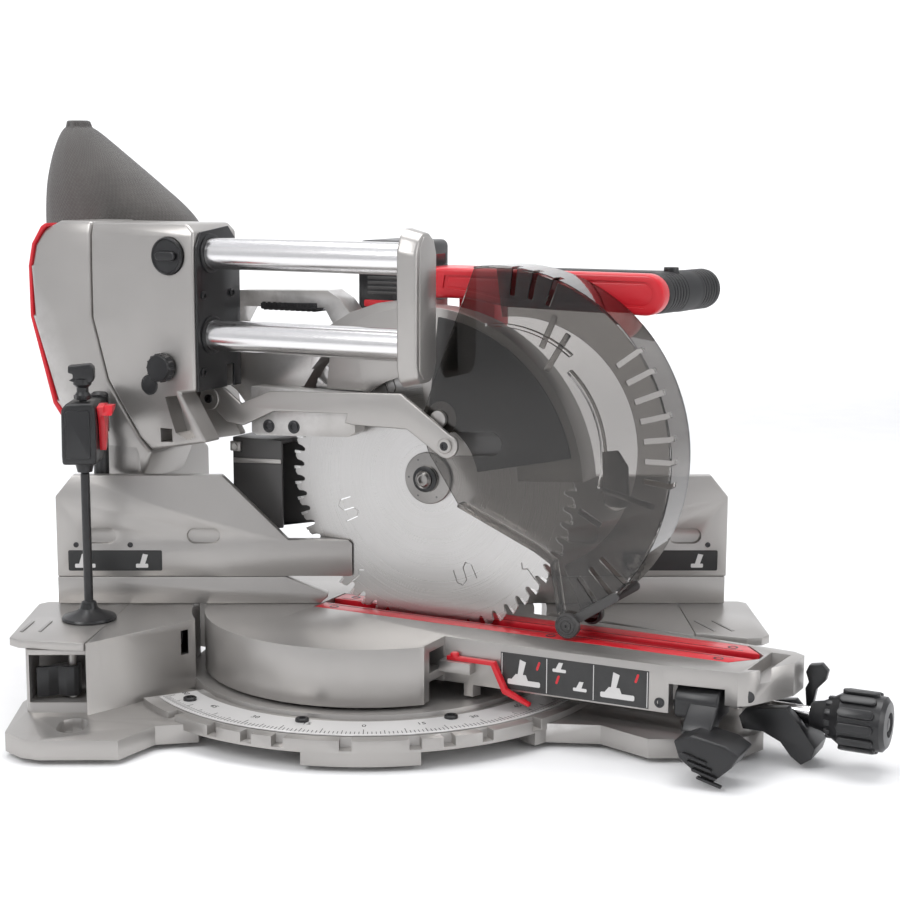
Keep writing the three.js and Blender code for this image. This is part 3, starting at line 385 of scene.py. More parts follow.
def smoke_clear():
    material, w, shader = new_material(
        "Smoke Clear", metallic=0.0, transmission_weight=1.0, ior=1.45)
    grain = place_group(w, grain_group(), Scale=300.0)
    edge_highlight_mask = place_group(w, wear_group(), Amount=0.5)["Mask"]
    shade = w.mix(grain["Mottle"], rgba(colours().smoke, 0.96), rgba(colours().smoke, 1.0))
    # sharp edges of the clear guard made lighter: a painted highlight
    join(w, w.mix(edge_highlight_mask, shade, rgba(colours().smoke, 1.25)), shader.inputs["Base Color"])
    join(w, w.spread(grain["Mottle"], 0.0, 1.0, 0.0, 0.03), shader.inputs["Roughness"])
    return material


def bag_cloth():
    material, w, shader = new_material(
        "Bag Cloth", metallic=0.0, sheen_weight=0.25, sheen_roughness=0.5)
    weave = place_group(w, weave_group(), Pitch=sizes().weave_pitch)
    grain = place_group(w, grain_group(), Scale=500.0)
    thread = w.mix(grain["Mottle"], rgba(colours().cloth, 0.85), rgba(colours().cloth, 1.2))
    join(w, w.mix(weave["Thread"], rgba(colours().cloth, 0.18), thread),
         shader.inputs["Base Color"])
    join(w, w.spread(weave["Height"], 0.0, 1.0, 0.95, 0.72), shader.inputs["Roughness"])
    bump(w, shader, weave["Height"], 0.0006, 0.9)
    return material


# Painted skins: name, colour or setting, metallic, roughness, grain scale, grain depth,
# strength of the painted edge highlight, colour of that painted highlight and dust.
PAINTED = {
    "silver": ("Silver Casting", "silver", 0.72, 0.33, 1600.0, 0.00004, 0.7,
               (0.80, 0.79, 0.78, 1), 0.008),
    "dark_silver": ("Shaded Casting", (0.30, 0.29, 0.28), 0.6, 0.36, 1600.0, 0.00004, 0.4,
                    (0.7, 0.69, 0.68, 1), 0.01),
    "black": ("Black Moulding", "black", 0.0, 0.34, 1300.0, 0.00002, 0.35,
              (0.10, 0.10, 0.10, 1), 0.015),
    "grey": ("Grey Moulding", (0.055, 0.053, 0.052), 0.0, 0.4, 1300.0, 0.00002, 0.3,
             (0.16, 0.16, 0.16, 1), 0.02),
    "red": ("Red Moulding", "red", 0.0, 0.30, 1300.0, 0.00002, 0.35,
            (0.75, 0.16, 0.15, 1), 0.02),
    "rubber": ("Grip Rubber", (0.014, 0.014, 0.015), 0.0, 0.55, 1300.0, 0.00004, 0.3,
               (0.08, 0.08, 0.08, 1), 0.05),
    "scale": ("Scale Plate", (0.72, 0.71, 0.70), 0.35, 0.32, 1600.0, 0.00002, 0.4,
              (0.85, 0.85, 0.84, 1), 0.01),
    "label": ("Label Dark", (0.016, 0.016, 0.016), 0.0, 0.35, 3000.0, 0.00002, 0.2,
              (0.1, 0.1, 0.1, 1), 0.01),
    "pale": ("Label Pale", (0.62, 0.61, 0.60), 0.0, 0.45, 3000.0, 0.00002, 0.2,
             (0.5, 0.5, 0.5, 1), 0.01),
}
# Bright metals: name, colour, roughness and how far the streaks spread it.
METALS = {
    "tube": ("Bright Tube", (0.80, 0.79, 0.79), 0.20, 0.05),
    "plate": ("Plated Steel", (0.66, 0.65, 0.64), 0.30, 0.08),
    "flange": ("Flange Steel", (0.30, 0.29, 0.28), 0.34, 0.06),
    "black_steel": ("Blackened Steel", (0.06, 0.06, 0.062), 0.36, 0.08),
}
OTHERS = {"blade": blade_steel, "smoke": smoke_clear, "cloth": bag_cloth}
MADE = {}


def finish_of(key):
    if key in MADE:
        return MADE[key]
    if key in PAINTED:
        name, colour, *rest = PAINTED[key]
        if isinstance(colour, str):
            colour = getattr(colours(), colour)
        MADE[key] = painted(name, colour, *rest)
    elif key in METALS:
        MADE[key] = metal(*METALS[key])
    else:
        MADE[key] = OTHERS[key]()
    return MADE[key]


# ---- shaping -----------------------------------------------------------------------------
def edges_over(bm, degrees, verts=None):
    """Edges whose faces meet more sharply than this, among those verts or all."""
    chosen = []
    for edge in bm.edges:
        if verts is not None and edge.verts[0] not in verts:
            continue
        if len(edge.link_faces) == 2 and edge.calc_face_angle(0.0) > radians(degrees):
            chosen.append(edge)
    return chosen


def soften(bm, width, segments=2, degrees=24, verts=None):
    edges = edges_over(bm, degrees, verts)
    if edges and width > 0:
        bmesh.ops.bevel(bm, geom=edges, offset=width * MM, offset_type="OFFSET",
                        segments=segments, profile=0.5, affect="EDGES",
                        clamp_overlap=True, loop_slide=True, material=-1)


def faces_round(verts):
    """The faces that use any of these verts, each once."""
    return list(dict.fromkeys(face for vert in verts for face in vert.link_faces))


def slab(bm, corners, depth, soft=0.0, segments=2, degrees=24):
    """A flat outline of points, raised along a vector, its edges rounded."""
    before = set(bm.verts)
    face = bm.faces.new([bm.verts.new(corner) for corner in corners])
    grown = bmesh.ops.extrude_face_region(bm, geom=[face], use_keep_orig=True)
    far = [part for part in grown["geom"] if isinstance(part, bmesh.types.BMVert)]
    bmesh.ops.translate(bm, verts=far, vec=depth)
    fresh = [vert for vert in bm.verts if vert not in before]
    bmesh.ops.recalc_face_normals(bm, faces=faces_round(fresh))
    if soft:
        soften(bm, soft, segments, degrees, set(fresh))
    return fresh


def spread_on(origin, first, second, outline):
    """An outline laid on a plane through origin, along two directions."""
    return [origin + first * (p * MM) + second * (q * MM) for p, q in outline]


def spoke(side, turn):
    """Directions out from an axis and across, at an angle from side towards up."""
    return side * cos(turn) + UP * sin(turn), UP * cos(turn) - side * sin(turn)


def side_slab(bm, outline, l0, l1, soft=0.0, segments=2, degrees=24):
    """A slab drawn in forward and height, between two distances left of the blade."""
    corners = [at(a, l0, h) for a, h in outline]
    return slab(bm, corners, LEFT * ((l1 - l0) * MM), soft, segments, degrees)


def plan_slab(bm, outline, h0, h1, soft=0.0, segments=2, degrees=24):
    corners = [at(a, l, h0) for a, l in outline]
    return slab(bm, corners, UP * ((h1 - h0) * MM), soft, segments, degrees)


def front_slab(bm, outline, a0, a1, soft=0.0, segments=2, degrees=24):
    corners = [at(a0, l, h) for l, h in outline]
    return slab(bm, corners, FORWARD * ((a1 - a0) * MM), soft, segments, degrees)


def upright_slab(bm, outline, y0, y1, soft=0.0, segments=2, degrees=24):
    """A slab drawn in x and height, between two distances back."""
    corners = [on_bench(x, y0, h) for x, h in outline]
    return slab(bm, corners, Vector((0, (y1 - y0) * MM, 0)), soft, segments, degrees)


def bench_slab(bm, outline, h0, h1, soft=0.0, segments=2, degrees=24):
    corners = [on_bench(x, y, h0) for x, y in outline]
    return slab(bm, corners, UP * ((h1 - h0) * MM), soft, segments, degrees)


def lathe(bm, profile, origin, axis, steps=40):
    """A turned solid: profile of radius and distance along the axis, in millimetres."""
    axis = axis.normalized()
    side = axis.orthogonal().normalized()
    line = [bm.verts.new(origin + side * (r * MM) + axis * (d * MM)) for r, d in profile]
    edges = [bm.edges.new(pair) for pair in zip(line, line[1:])]
    before = set(bm.verts) - set(line)
    bmesh.ops.spin(bm, geom=line + edges, cent=origin, axis=axis, dvec=(0, 0, 0),
                   angle=tau, steps=steps, use_merge=True, use_normal_flip=False,
                   use_duplicate=False)
    fresh = [vert for vert in bm.verts if vert not in before]
    bmesh.ops.remove_doubles(bm, verts=fresh, dist=1e-6)
    fresh = [vert for vert in bm.verts if vert not in before]
    bmesh.ops.recalc_face_normals(bm, faces=faces_round(fresh))
    return fresh


def arc(centre, radius, start, end, steps):
    return [(centre[0] + radius * cos(radians(start + (end - start) * i / steps)),
             centre[1] + radius * sin(radians(start + (end - start) * i / steps)))
            for i in range(steps + 1)]


def round_box(x0, x1, y0, y1, r, steps=4):
    return (arc((x1 - r, y1 - r), r, 0, 90, steps) + arc((x0 + r, y1 - r), r, 90, 180, steps)
            + arc((x0 + r, y0 + r), r, 180, 270, steps) + arc((x1 - r, y0 + r), r, 270, 360, steps))


def capsule(start, end, radius, steps=8):
    tilt = atan2(end[1] - start[1], end[0] - start[0]) * 360 / tau
    return (arc(end, radius, tilt - 90, tilt + 90, steps)
            + arc(start, radius, tilt + 90, tilt + 270, steps))


def as_object(name, bm):
    """Puts a bmesh into the scene as an object and frees it."""
    mesh = bpy.data.meshes.new(name)
    bm.to_mesh(mesh)
    bm.free()
    made = bpy.data.objects.new(name, mesh)
    bpy.context.collection.objects.link(made)
    return made


def piece(name, bm, finish, body, replaces=(), smooth=32):
    """Turns a bmesh into a finished object that rides on a body."""
    for face in bm.faces:
        face.smooth = True
    for edge in bm.edges:
        if len(edge.link_faces) == 2:
            edge.smooth = edge.calc_face_angle(0.0) < radians(smooth)
    made = as_object(name, bm)
    made.data.materials.append(finish_of(finish))
    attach(made, body)
    if replaces:
        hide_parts(*replaces)
    return made


def body_of(node):
    return frame["nodes"][node]["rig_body"]


def refined(node, finish, soft=0.8, segments=2, degrees=26):
    """A node's own shape with rounded edges and a smooth skin."""
    bm = bmesh.new()
    bm.from_mesh(frame["nodes"][node].data)
    bmesh.ops.remove_doubles(bm, verts=bm.verts, dist=2e-6)
    bmesh.ops.dissolve_limit(bm, angle_limit=radians(0.8), verts=bm.verts, edges=bm.edges,
                             use_dissolve_boundaries=False)
    soften(bm, soft, segments, degrees)
    return piece(node + "_shell", bm, finish, body_of(node), [node])


def current_mesh(made):
    """A mesh of an object as its modifiers leave it."""
    bpy.context.view_layer.update()
    return bpy.data.meshes.new_from_object(
        made.evaluated_get(bpy.context.evaluated_depsgraph_get()))


def combine(made, operation, parts):
    """Applies an exact boolean to a piece with each closed bmesh shape in turn."""
    for bm in parts:
        tool = as_object("tool", bm)
        knife = made.modifiers.new("combine", "BOOLEAN")
        knife.operation = operation
        knife.solver = "EXACT"
        knife.use_self = True
        knife.object = tool
        result = current_mesh(made)
        made.modifiers.clear()
        made.data = result
        bpy.data.objects.remove(tool)


def turned_cutter(profile, origin, axis, steps=48):
    """A turned solid in a bmesh of its own."""
    bm = bmesh.new()
    lathe(bm, profile, origin, axis, steps)
    return bm


def side_cutter(outline, l0, l1, soft=0.0, segments=2):
    """A side slab in a bmesh of its own."""
    bm = bmesh.new()
    side_slab(bm, outline, l0, l1, soft, segments)
    return bm


# ---- base --------------------------------------------------------------------------------
def socket_screw(bm, origin, axis, radius, height, recess=0.55):
    """A screw head with a drive recess."""
    lathe(bm, [(0, 0), (radius, 0), (radius, height * 0.75), (radius * 0.86, height),
               (radius * recess, height), (radius * recess * 0.9, height * 0.45),
               (0, height * 0.45)], origin, axis, 24)


def build_base():
    edge = sizes().casting_edge / MM
    refined("base_casting", "silver", edge)
    refined("turntable_bolt", "black_steel", 0.3)
    for side in ("left", "right"):
        refined(f"{side}_extension", "silver", edge)
        refined(f"{side}_extension_lock", "black", 0.8)
        for end in ("front", "rear"):
            refined(f"rubber_foot_{side}_{end}", "rubber", 0.5)
    right_ribs = [(311, -62), (314, -60), (327, -98), (324, -100)]
    left_ribs = [(-300, -62), (-303, -60), (-306, -98), (-303, -100)]
    for side, shape, way in (("right", right_ribs, 1), ("left", left_ribs, -1)):
        bm = bmesh.new()
        for shift in (0, 17):
            bench_slab(bm, [(x + way * shift, y) for x, y in shape], -0.4, 0.7, 0.3)
        piece(f"plate_ribs_{side}", bm, "dark_silver", f"{side}_extension")


def bearing_point(bearing, radius, height):
    turn = radians(bearing)
    return on_bench(radius * sin(turn), -radius * cos(turn), height)


def build_scale():
    """Plated scale with its degree marks, numbers and screws."""
    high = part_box("miter_scale")[1]
    top = (high.z - TABLE) / MM
    refined("miter_scale", "scale", 0.25, 1)
    bm = bmesh.new()
    for degree in range(-60, 61):
        length = 12 if degree % 10 == 0 else 9 if degree % 5 == 0 else 6
        half = 0.09
        corners = [bearing_point(degree - half, 219, top + 0.01),
                   bearing_point(degree + half, 219, top + 0.01),
                   bearing_point(degree + half, 219 - length, top + 0.01),
                   bearing_point(degree - half, 219 - length, top + 0.01)]
        slab(bm, corners, UP * (0.12 * MM))
    piece("scale_marks", bm, "label", "base")
    for degree in range(-60, 61, 15):
        number(abs(degree), degree, 199, top)
    bm = bmesh.new()
    for bearing, radius in ((-54, 202), (-17, 190), (24, 190)):
        socket_screw(bm, bearing_point(bearing, radius, top), UP, 6.2, 3.0)
    piece("scale_screws", bm, "black", "base")


def number(value, bearing, radius, top):
    """One numeral on the scale, read from the front."""
    text = bpy.data.curves.new("numeral", "FONT")
    text.body = str(value)
    text.align_x = "CENTER"
    text.size = 0.0085
    text.extrude = 0.00006
    holder = bpy.data.objects.new("numeral", text)
    bpy.context.collection.objects.link(holder)
    mesh = current_mesh(holder)
    bpy.data.objects.remove(holder)
    place = Matrix.Translation(bearing_point(bearing, radius, top + 0.07))
    mesh.transform(place @ Matrix.Rotation(radians(bearing), 4, "Z"))
    sign = "l" if bearing < 0 else "r"
    made = bpy.data.objects.new(f"scale_number_{sign}{value}", mesh)
    bpy.context.collection.objects.link(made)
    mesh.materials.clear()
    mesh.materials.append(finish_of("label"))
    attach(made, "base")


FENCE_FACE = 5.6


def fence_mark(bm, outline, proud=0.35):
    """A thin plate on the fence's front face, drawn in x and height."""
    corners = [on_bench(x, FENCE_FACE - 0.02, h) for x, h in outline]
    slab(bm, corners, Vector((0, -proud * MM, 0)))


def build_fences():
    edge = sizes().casting_edge / MM
    for side in ("left", "right"):
        refined(f"{side}_low_fence", "silver", edge)
        refined(f"{side}_fence", "silver", edge)
    for side, x0, x1 in (("left", -297, -205), ("right", 250, 344)):
        bm = bmesh.new()
        fence_mark(bm, round_box(x0, x1, 34, 54.5, 1.5))
        piece(f"{side}_fence_label", bm, "label", f"{side}_fence")
        bm = bmesh.new()
        span = x1 - x0
        for share, width in ((0.07, 20), (0.72, 12)):
            left = x0 + span * share
            fence_mark(bm, round_box(left, left + width, 37, 41, 1), 0.5)
            fence_mark(bm, [(left + 4, 41), (left + 9, 41), (left + 12, 50), (left + 7, 51)], 0.5)
        piece(f"{side}_fence_symbols", bm, "pale", f"{side}_fence")
        bm = bmesh.new()
        for x in ((x0 + 61, x0 + 8) if side == "left" else (x0 + 40, x0 + 84)):
            socket_screw(bm, on_bench(x, FENCE_FACE, 60), Vector((0, -1, 0)), 2.6, 1.0)
        piece(f"{side}_fence_screws", bm, "black_steel", f"{side}_fence")


def build_hold_down():
    refined("clamp_lever", "red", 0.7)
    bm = bmesh.new()
    x, y = -268.5, -50
    body = [(x - 16, 152), (x + 15, 152), (x + 16, 158), (x + 16, 204), (x + 12, 210),
            (x - 11, 210), (x - 16, 204), (x - 16.5, 160)]
    upright_slab(bm, body, y - 20, y + 20, 2.4, 3)
    upright_slab(bm, round_box(x - 12, x + 11, 158, 203, 3), y - 21.6, y - 17.6, 0.8)
    upright_slab(bm, round_box(x - 9.5, x + 9.5, 173, 205, 3), -32, 24, 1.6)
    lathe(bm, [(0, 170), (8.6, 170), (8.6, 207), (6, 209), (0, 209)], on_bench(-266, 27.6, 0), UP)
    lathe(bm, [(0, -57), (7.5, -57), (7.5, 172), (0, 172)], on_bench(-266, 27.6, 0), UP)
    lathe(bm, [(0, 143), (7, 143), (8.6, 150), (8.6, 154), (0, 154)], on_bench(-267, -52, 0), UP)
    piece("clamp_body", bm, "black", "clamp_post", ["clamp_post"])
    bm = bmesh.new()
    foot = on_bench(-267, -52, 0)
    lathe(bm, [(0, 0.4), (25.5, 0.4), (26, 1.4), (25, 3.4), (13, 7.6), (8.5, 11), (7, 17),
               (4.3, 18.5), (4.3, 141), (3.6, 142), (3.6, 211), (7, 212), (7.6, 216), (5.6, 219),
               (5.6, 223), (8.6, 226), (8.6, 231), (0, 231)], foot, UP, 48)
    wing = [(-279, 230), (-272, 227.5), (-258, 227.5), (-255.5, 232), (-255.5, 242),
            (-259, 245.7), (-279, 244), (-279.5, 237), (-275, 236), (-275, 232)]
    upright_slab(bm, wing, -58, -46, 1.4, 3)
    for turn in range(6):
        spin = radians(60 * turn)
        centre = foot + Vector((7.4 * MM * cos(spin), 7.4 * MM * sin(spin), 0))
        lathe(bm, [(0, 212.5), (1.1, 212.5), (1.1, 216), (0, 216)], centre, UP, 8)
    piece("clamp_spindle", bm, "black", "clamp_screw", ["clamp_screw"])


# ---- turntable ---------------------------------------------------------------------------
KERF_SCREWS = ((-29, 20.5), (204, 20.5), (366, 20.5), (-29, -22), (204, -22), (366, -20.5))


def arm_side(a):
    """How far left the arm's side stands at a distance forward."""
    return 70 - 5 * (a - 100) / 230


def side_plate(bm, outline, proud, lift=0.0):
    """A thin plate lying on the arm's left side, drawn in forward and height."""
    corners = [at(a, arm_side(a) + 0.03 + lift, h) for a, h in outline]
    slab(bm, corners, LEFT * (proud * MM))


def build_turntable():
    edge = sizes().casting_edge / MM
    for node, finish, soft in (
            ("turntable", "silver", edge), ("bevel_bolt", "black_steel", 0.4),
            ("miter_pointer", "red", 0.5), ("detent_bar", "black_steel", 0.3),
            ("left_kerf_insert", "red", 0.5), ("right_kerf_insert", "red", 0.5)):
        refined(node, finish, soft)
    bm = bmesh.new()
    for a, l in KERF_SCREWS:
        socket_screw(bm, at(a, l, -1.2), UP, 5.2, 1.35)
    piece("kerf_screws", bm, "black", "turntable")
    bm = bmesh.new()
    for l in (12.2, -13.4):
        plan_slab(bm, [(-40, l), (378, l), (378, l + 1.1), (-40, l + 1.1)], -0.2, 0.12)
    piece("kerf_grooves", bm, "label", "turntable")
    bm = bmesh.new()
    side_plate(bm, [(176, -41), (318, -41), (318, -7), (176, -7)], 0.4)
    piece("arm_panel", bm, "label", "turntable")
    bm = bmesh.new()
    for a in (177, 221, 266, 316.4):
        side_plate(bm, [(a, -40), (a + 0.7, -40), (a + 0.7, -8), (a, -8)], 0.12, 0.4)
    for a in (181, 271):
        side_plate(bm, round_box(a + 2, a + 34, -36, -31, 1.5), 0.12, 0.4)
        side_plate(bm, [(a + 6, -31), (a + 22, -31), (a + 20, -26), (a + 10, -26)], 0.12, 0.4)
        side_plate(bm, [(a + 12, -26), (a + 17, -26), (a + 20, -14), (a + 14, -12)], 0.12, 0.4)
    for a, h in ((227, -19), (247, -34)):
        side_plate(bm, round_box(a, a + 13, h, h + 3, 1), 0.12, 0.4)
        side_plate(bm, [(a + 3, h + 3), (a + 8, h + 3), (a + 10, h + 9), (a + 6, h + 9)], 0.12, 0.4)
    piece("arm_panel_symbols", bm, "pale", "turntable")
    bm = bmesh.new()
    for a, h in ((212, -19), (231, -29), (306, -18)):
        side_plate(bm, capsule((a, h), (a + 2, h + 6), 1.1), 0.12, 0.4)
    piece("arm_panel_arrows", bm, "red", "turntable")
    bm = bmesh.new()
    socket_screw(bm, at(328, arm_side(328) - 0.6, -34), LEFT, 4.6, 1.4)
    lathe(bm, [(0, 0), (5.2, 0), (5.2, 0.5), (0, 0.9)], at(404, 50.4, -22), LEFT, 28)
    piece("arm_side_screw", bm, "black_steel", "turntable")


def build_lock_knob():
    bm = bmesh.new()
    base = at(458, 0, -45)
    lathe(bm, [(0, -12), (10.4, -12), (11.6, -10.6), (13.4, -2), (17.6, 6), (22, 13), (24, 16),
               (24.4, 42), (24, 52), (20, 55.4), (11, 56.2), (10, 53), (8.5, 52), (0, 52)],
          base, FORWARD, 64)
    for index in range(12):
        out, across = spoke(LEFT, radians(30 * index))
        outline = capsule((19, 0), (43, 0), 4.2, 6)
        slab(bm, spread_on(base + out * (22.4 * MM), FORWARD, across, outline),
             out * (4.7 * MM), 1.2, 3)
        outline = [(2.5, -2.4), (13, -3.0), (13, 3.0), (2.5, 2.4)]
        slab(bm, spread_on(base + out * (13.5 * MM), FORWARD, across, outline),
             out * (5.2 * MM), 1.0, 2)
    lathe(bm, [(0, 51.4), (6.5, 51.4), (6.5, 54.6), (4.6, 55.4), (0, 55.4)], base, FORWARD, 6)
    piece("lock_knob", bm, "black", "miter_lock_knob", ["miter_lock_knob"])
    bm = bmesh.new()
    lathe(bm, [(0, 331), (5, 331), (5.5, 332), (5.5, 444), (6.4, 444.5), (6.4, 449), (5.5, 450),
               (5.5, 462), (0, 462)], at(0, 0, -43.5), FORWARD, 32)
    piece("lock_rod", bm, "tube", "miter_lock_knob")


def build_arm_controls():
    refined("bevel_stop_lever", "black", 0.9, 3)
    refined("detent_lever", "black", 1.4, 3)
    refined("bevel_lock", "black", 1.2, 3)
    bm = bmesh.new()
    front_slab(bm, [(27, -18.5), (55, -18.5), (62, -22), (65, -28), (65, -42), (60, -46.5),
                    (30, -45)], 341, 381, 2.2, 3)
    front_slab(bm, [(46, -38), (64, -30), (80, -44), (84, -50), (76, -62)], 355, 381, 1.6, 3)
    pad = [(356, -52), (372, -45), (402, -50.5), (414, -57.5), (407, -69), (390, -85),
           (374, -76), (361, -67)]
    side_slab(bm, pad, 67, 106, 1.8, 3)
    for index in range(4):
        rise = -80.5 + 6.2 * index
        start = 379 - 4.6 * index
        side_slab(bm, capsule((start, rise), (start + 20, rise - 5), 1.3, 4), 105, 108.6, 0.5)
    piece("detent_pedal_shell", bm, "black", "detent_pedal", ["detent_pedal"])
    bm = bmesh.new()
    lathe(bm, [(0, 0), (3.6, 0), (3.6, 48), (0, 48)], at(337, 40, -24), FORWARD, 24)
    piece("pedal_pin", bm, "black_steel", "turntable")


# ---- rear housing, rails and carriage -----------------------------------------------------
def bulge(bm, verts, side, stations):
    """Pulls the outer side of a housing in by an amount that follows height."""
    for height, _ in stations[1:-1]:
        edges = list(dict.fromkeys(edge for vert in verts for edge in vert.link_edges))
        cut = bmesh.ops.bisect_plane(
            bm, geom=edges + faces_round(verts) + verts,
            plane_co=at(0, 0, height), plane_no=UP, clear_inner=False, clear_outer=False)
        fresh = [part for part in cut["geom_cut"] if isinstance(part, bmesh.types.BMVert)]
        verts = list(dict.fromkeys(verts + fresh))
    for vert in verts:
        a, l, h = in_arm(vert.co)
        if l < side - 1:
            continue
        for (h0, in0), (h1, in1) in zip(stations, stations[1:]):
            if h1 <= h <= h0:
                share = (h - h1) / (h0 - h1)
                vert.co -= LEFT * ((in1 + (in0 - in1) * share) * MM)
                break
    return verts


HOUSING = [(-265.5, 374.5), (-305, 374.5), (-322, 366), (-334, 350), (-338.5, 329), (-338, 279),
           (-313, 194), (-285, 158), (-272, 132), (-214, 118), (-199, 150), (-212, 163),
           (-249, 219), (-265.5, 281)]
REAR_LINE = [(-318, 368.4), (-322, 366), (-334, 350), (-338.5, 329), (-338, 279), (-313, 194),
             (-286.5, 160)]
CARRIAGE = [(-262, 374), (-150, 374), (-141, 366), (-141, 214), (-160, 212), (-131, 165),
            (-196, 153), (-208.6, 164), (-245.5, 220), (-262, 281)]
SIDE_BANDS = [(376, 5.0), (362, 1.2), (329, 0.2), (279, 0.0), (194, 1.4), (116, 5.0)]


def build_rear_housing():
    bm = bmesh.new()
    shell = side_slab(bm, HOUSING, 12, 88)
    shell = bulge(bm, shell, 88, SIDE_BANDS)
    soften(bm, 3.2, 3, 28)
    front_slab(bm, [(-36, -10), (36, -10), (40, 60), (86, 128), (84, 168), (14, 168), (-6, 158),
                    (-34, 140)], -262, -212, 4, 3)
    lathe(bm, [(0, -264), (40, -264), (44, -260), (44, -210), (41, -206.8), (0, -206.8)],
          at(0, 0, 0), FORWARD, 64)
    piece("rear_housing", bm, "silver", "bevel_arm", ["bevel_arm"])
    bm = bmesh.new()
    outer = [(-319, 372.2), (-325, 369), (-337.2, 351.6), (-342.4, 329.4), (-342, 278.6),
             (-316.4, 191.6), (-289.4, 157.4)]
    side_slab(bm, outer + [(a - 0.35, h + 0.35) for a, h in reversed(REAR_LINE)], 9, 88.5, 0.8, 2)
    piece("rear_trim", bm, "red", "bevel_arm", ["rear_cover"])


def build_rails():
    for name, height in zip(("upper_rail", "lower_rail"), RAILS):
        bm = bmesh.new()
        lathe(bm, [(12.2, -314.6), (14.4, -314.6), (15, -313.8), (15, 88), (14.4, 88.8),
                   (12.2, 88.8), (12.2, -314.6)], at(0, RAIL_L, height), FORWARD, 72)
        piece(name + "_tube", bm, "tube", "bevel_arm", [name])
    bm = bmesh.new()
    face = [(46, 235), (54, 229), (74, 229), (82, 235), (86, 248), (86, 354), (80, 367),
            (70, 374), (57, 374), (47, 367), (42, 354), (42, 248)]
    fresh = front_slab(bm, face, 77, 96.5)
    front = [v for v in fresh if in_arm(v.co)[0] > 90]
    middle = at(96.5, 64, 301.5)
    for vert in front:
        vert.co = middle + (vert.co - middle) * 0.93
    soften(bm, 2.6, 3, 20, set(fresh))
    front_slab(bm, [(50, 246), (58, 237), (70, 237), (78, 246), (78, 356), (70, 366), (58, 366),
                    (50, 356)], 95.6, 97.4, 0.8, 2)
    piece("rail_end_cover", bm, "silver", "bevel_arm", ["rail_end_cap"])


def rail_bores(start):
    """Cutters for the two holes that the rails run through."""
    profile = [(0, start), (16, start), (16, -130), (0, -130)]
    return [turned_cutter(profile, at(0, RAIL_L, height), FORWARD) for height in RAILS]


def build_carriage():
    bm = bmesh.new()
    shell = side_slab(bm, CARRIAGE, 16, 91)
    shell = bulge(bm, shell, 91, SIDE_BANDS)
    soften(bm, 3.0, 3, 28)
    housing = piece("carriage_housing", bm, "silver", "carriage", ["carriage"])
    pockets = (
        ([(-179, 130), (-110, 130), (-110, 214.5), (-179, 214.5)], 27.5, 64),
        ([(-179, 200), (-110, 200), (-110, 246), (-179, 246)], 27.5, 39.5),
        ([(-177, 207), (-163, 209), (-143, 170), (-152, 166), (-166, 172)], 70, 95),
        ([(-184, 162), (-170, 163), (-170, 176), (-184, 176)], 70, 95))
    cutters = [side_cutter(*pocket) for pocket in pockets]
    for a, h, r in ((-169, 343.2, 18.6), (CHOP[0], CHOP[1], 14), (-195, 217.6, 10)):
        cutters.append(turned_cutter([(0, 0), (r, 0), (r, 20), (0, 20)], at(a, 85, h), LEFT))
    combine(housing, "DIFFERENCE", cutters + rail_bores(-275))
    bm = bmesh.new()
    side_slab(bm, [(-204, 240), (-214, 232), (-214, 200), (-204, 172), (-190, 172), (-197, 205),
                   (-197, 240)], -64, 18, 1.2)
    for l0, l1 in ((4, 17), (-64, -53)):
        side_slab(bm, arc(CHOP, 15, -90, 110, 16) + [(-206, 238), (-206, 210)], l0, l1, 1.0)
    lathe(bm, [(0, 22), (5, 22), (5, 36.8), (0, 36.8)], at(-163, 0, 200), LEFT, 24)
    piece("carriage_bridge", bm, "silver", "carriage")
    build_carriage_trim()


def build_carriage_trim():
    bm = bmesh.new()
    x0 = -140.6
    face = [(15, 214), (27, 214), (27, 236), (39.5, 236), (39.5, 214), (88, 214), (88, 352),
            (80, 366), (34, 371), (15, 352)]
    front_slab(bm, face, x0, x0 + 2.4, 0.5)
    plate = piece("carriage_front_cover", bm, "black", "carriage", ["carriage_front_plate"])
    combine(plate, "DIFFERENCE", rail_bores(-150))
    bm = bmesh.new()
    for l, h in ((78, 306), (80, 232), (30, 306)):
        socket_screw(bm, at(x0 + 2.2, l, h), FORWARD, 4.0, 2.2)
    for height in RAILS:
        lathe(bm, [(15.3, -140.2), (18.6, -140.2), (18.6, -136.8), (17.4, -136.2),
                   (15.3, -136.2), (15.3, -140.2)], at(0, RAIL_L, height), FORWARD, 48)
    piece("carriage_front_screws", bm, "black", "carriage")
    bm = bmesh.new()
    lathe(bm, [(0, 0), (9.6, 0), (9.6, 4.6), (8.4, 5.4), (0, 5.4)], at(-195, 85.4, 217.6),
          LEFT, 40)
    piece("carriage_plug", bm, "black", "carriage")
    bm = bmesh.new()
    spot = at(-169, 85, 343.2)
    lathe(bm, [(0, 0), (17.8, 0), (17.8, 8.6), (16.6, 9.6), (15.2, 8.2), (0, 8.2)], spot, LEFT, 56)
    side_slab(bm, capsule((-176, 343.2), (-162, 343.2), 4.4), 92.6, 97.2, 1.2, 3)
    piece("slide_lock_cap", bm, "black", "slide_lock_knob", ["slide_lock_knob"])
    bm = bmesh.new()
    spot = at(CHOP[0], 66, CHOP[1])
    lathe(bm, [(0, 0), (8, 0), (8, 25), (13.2, 26.5), (13.2, 35), (12, 37), (0, 37)], spot,
          LEFT, 48)
    for index in range(14):
        rim = spot + spoke(FORWARD, tau * index / 14)[0] * (12.9 * MM)
        lathe(bm, [(0, 27.5), (1.3, 27.5), (1.3, 35), (0, 35.6)], rim, LEFT, 8)
    piece("lock_pin_cap", bm, "black", "head_lock_pin", ["head_lock_pin"])
    refined("chop_axle", "black_steel", 0.5)
    refined("upper_slide_bush", "black_steel", 0.3)
    refined("lower_slide_bush", "black_steel", 0.3)
    refined("dust_elbow", "black", 1.6, 3)


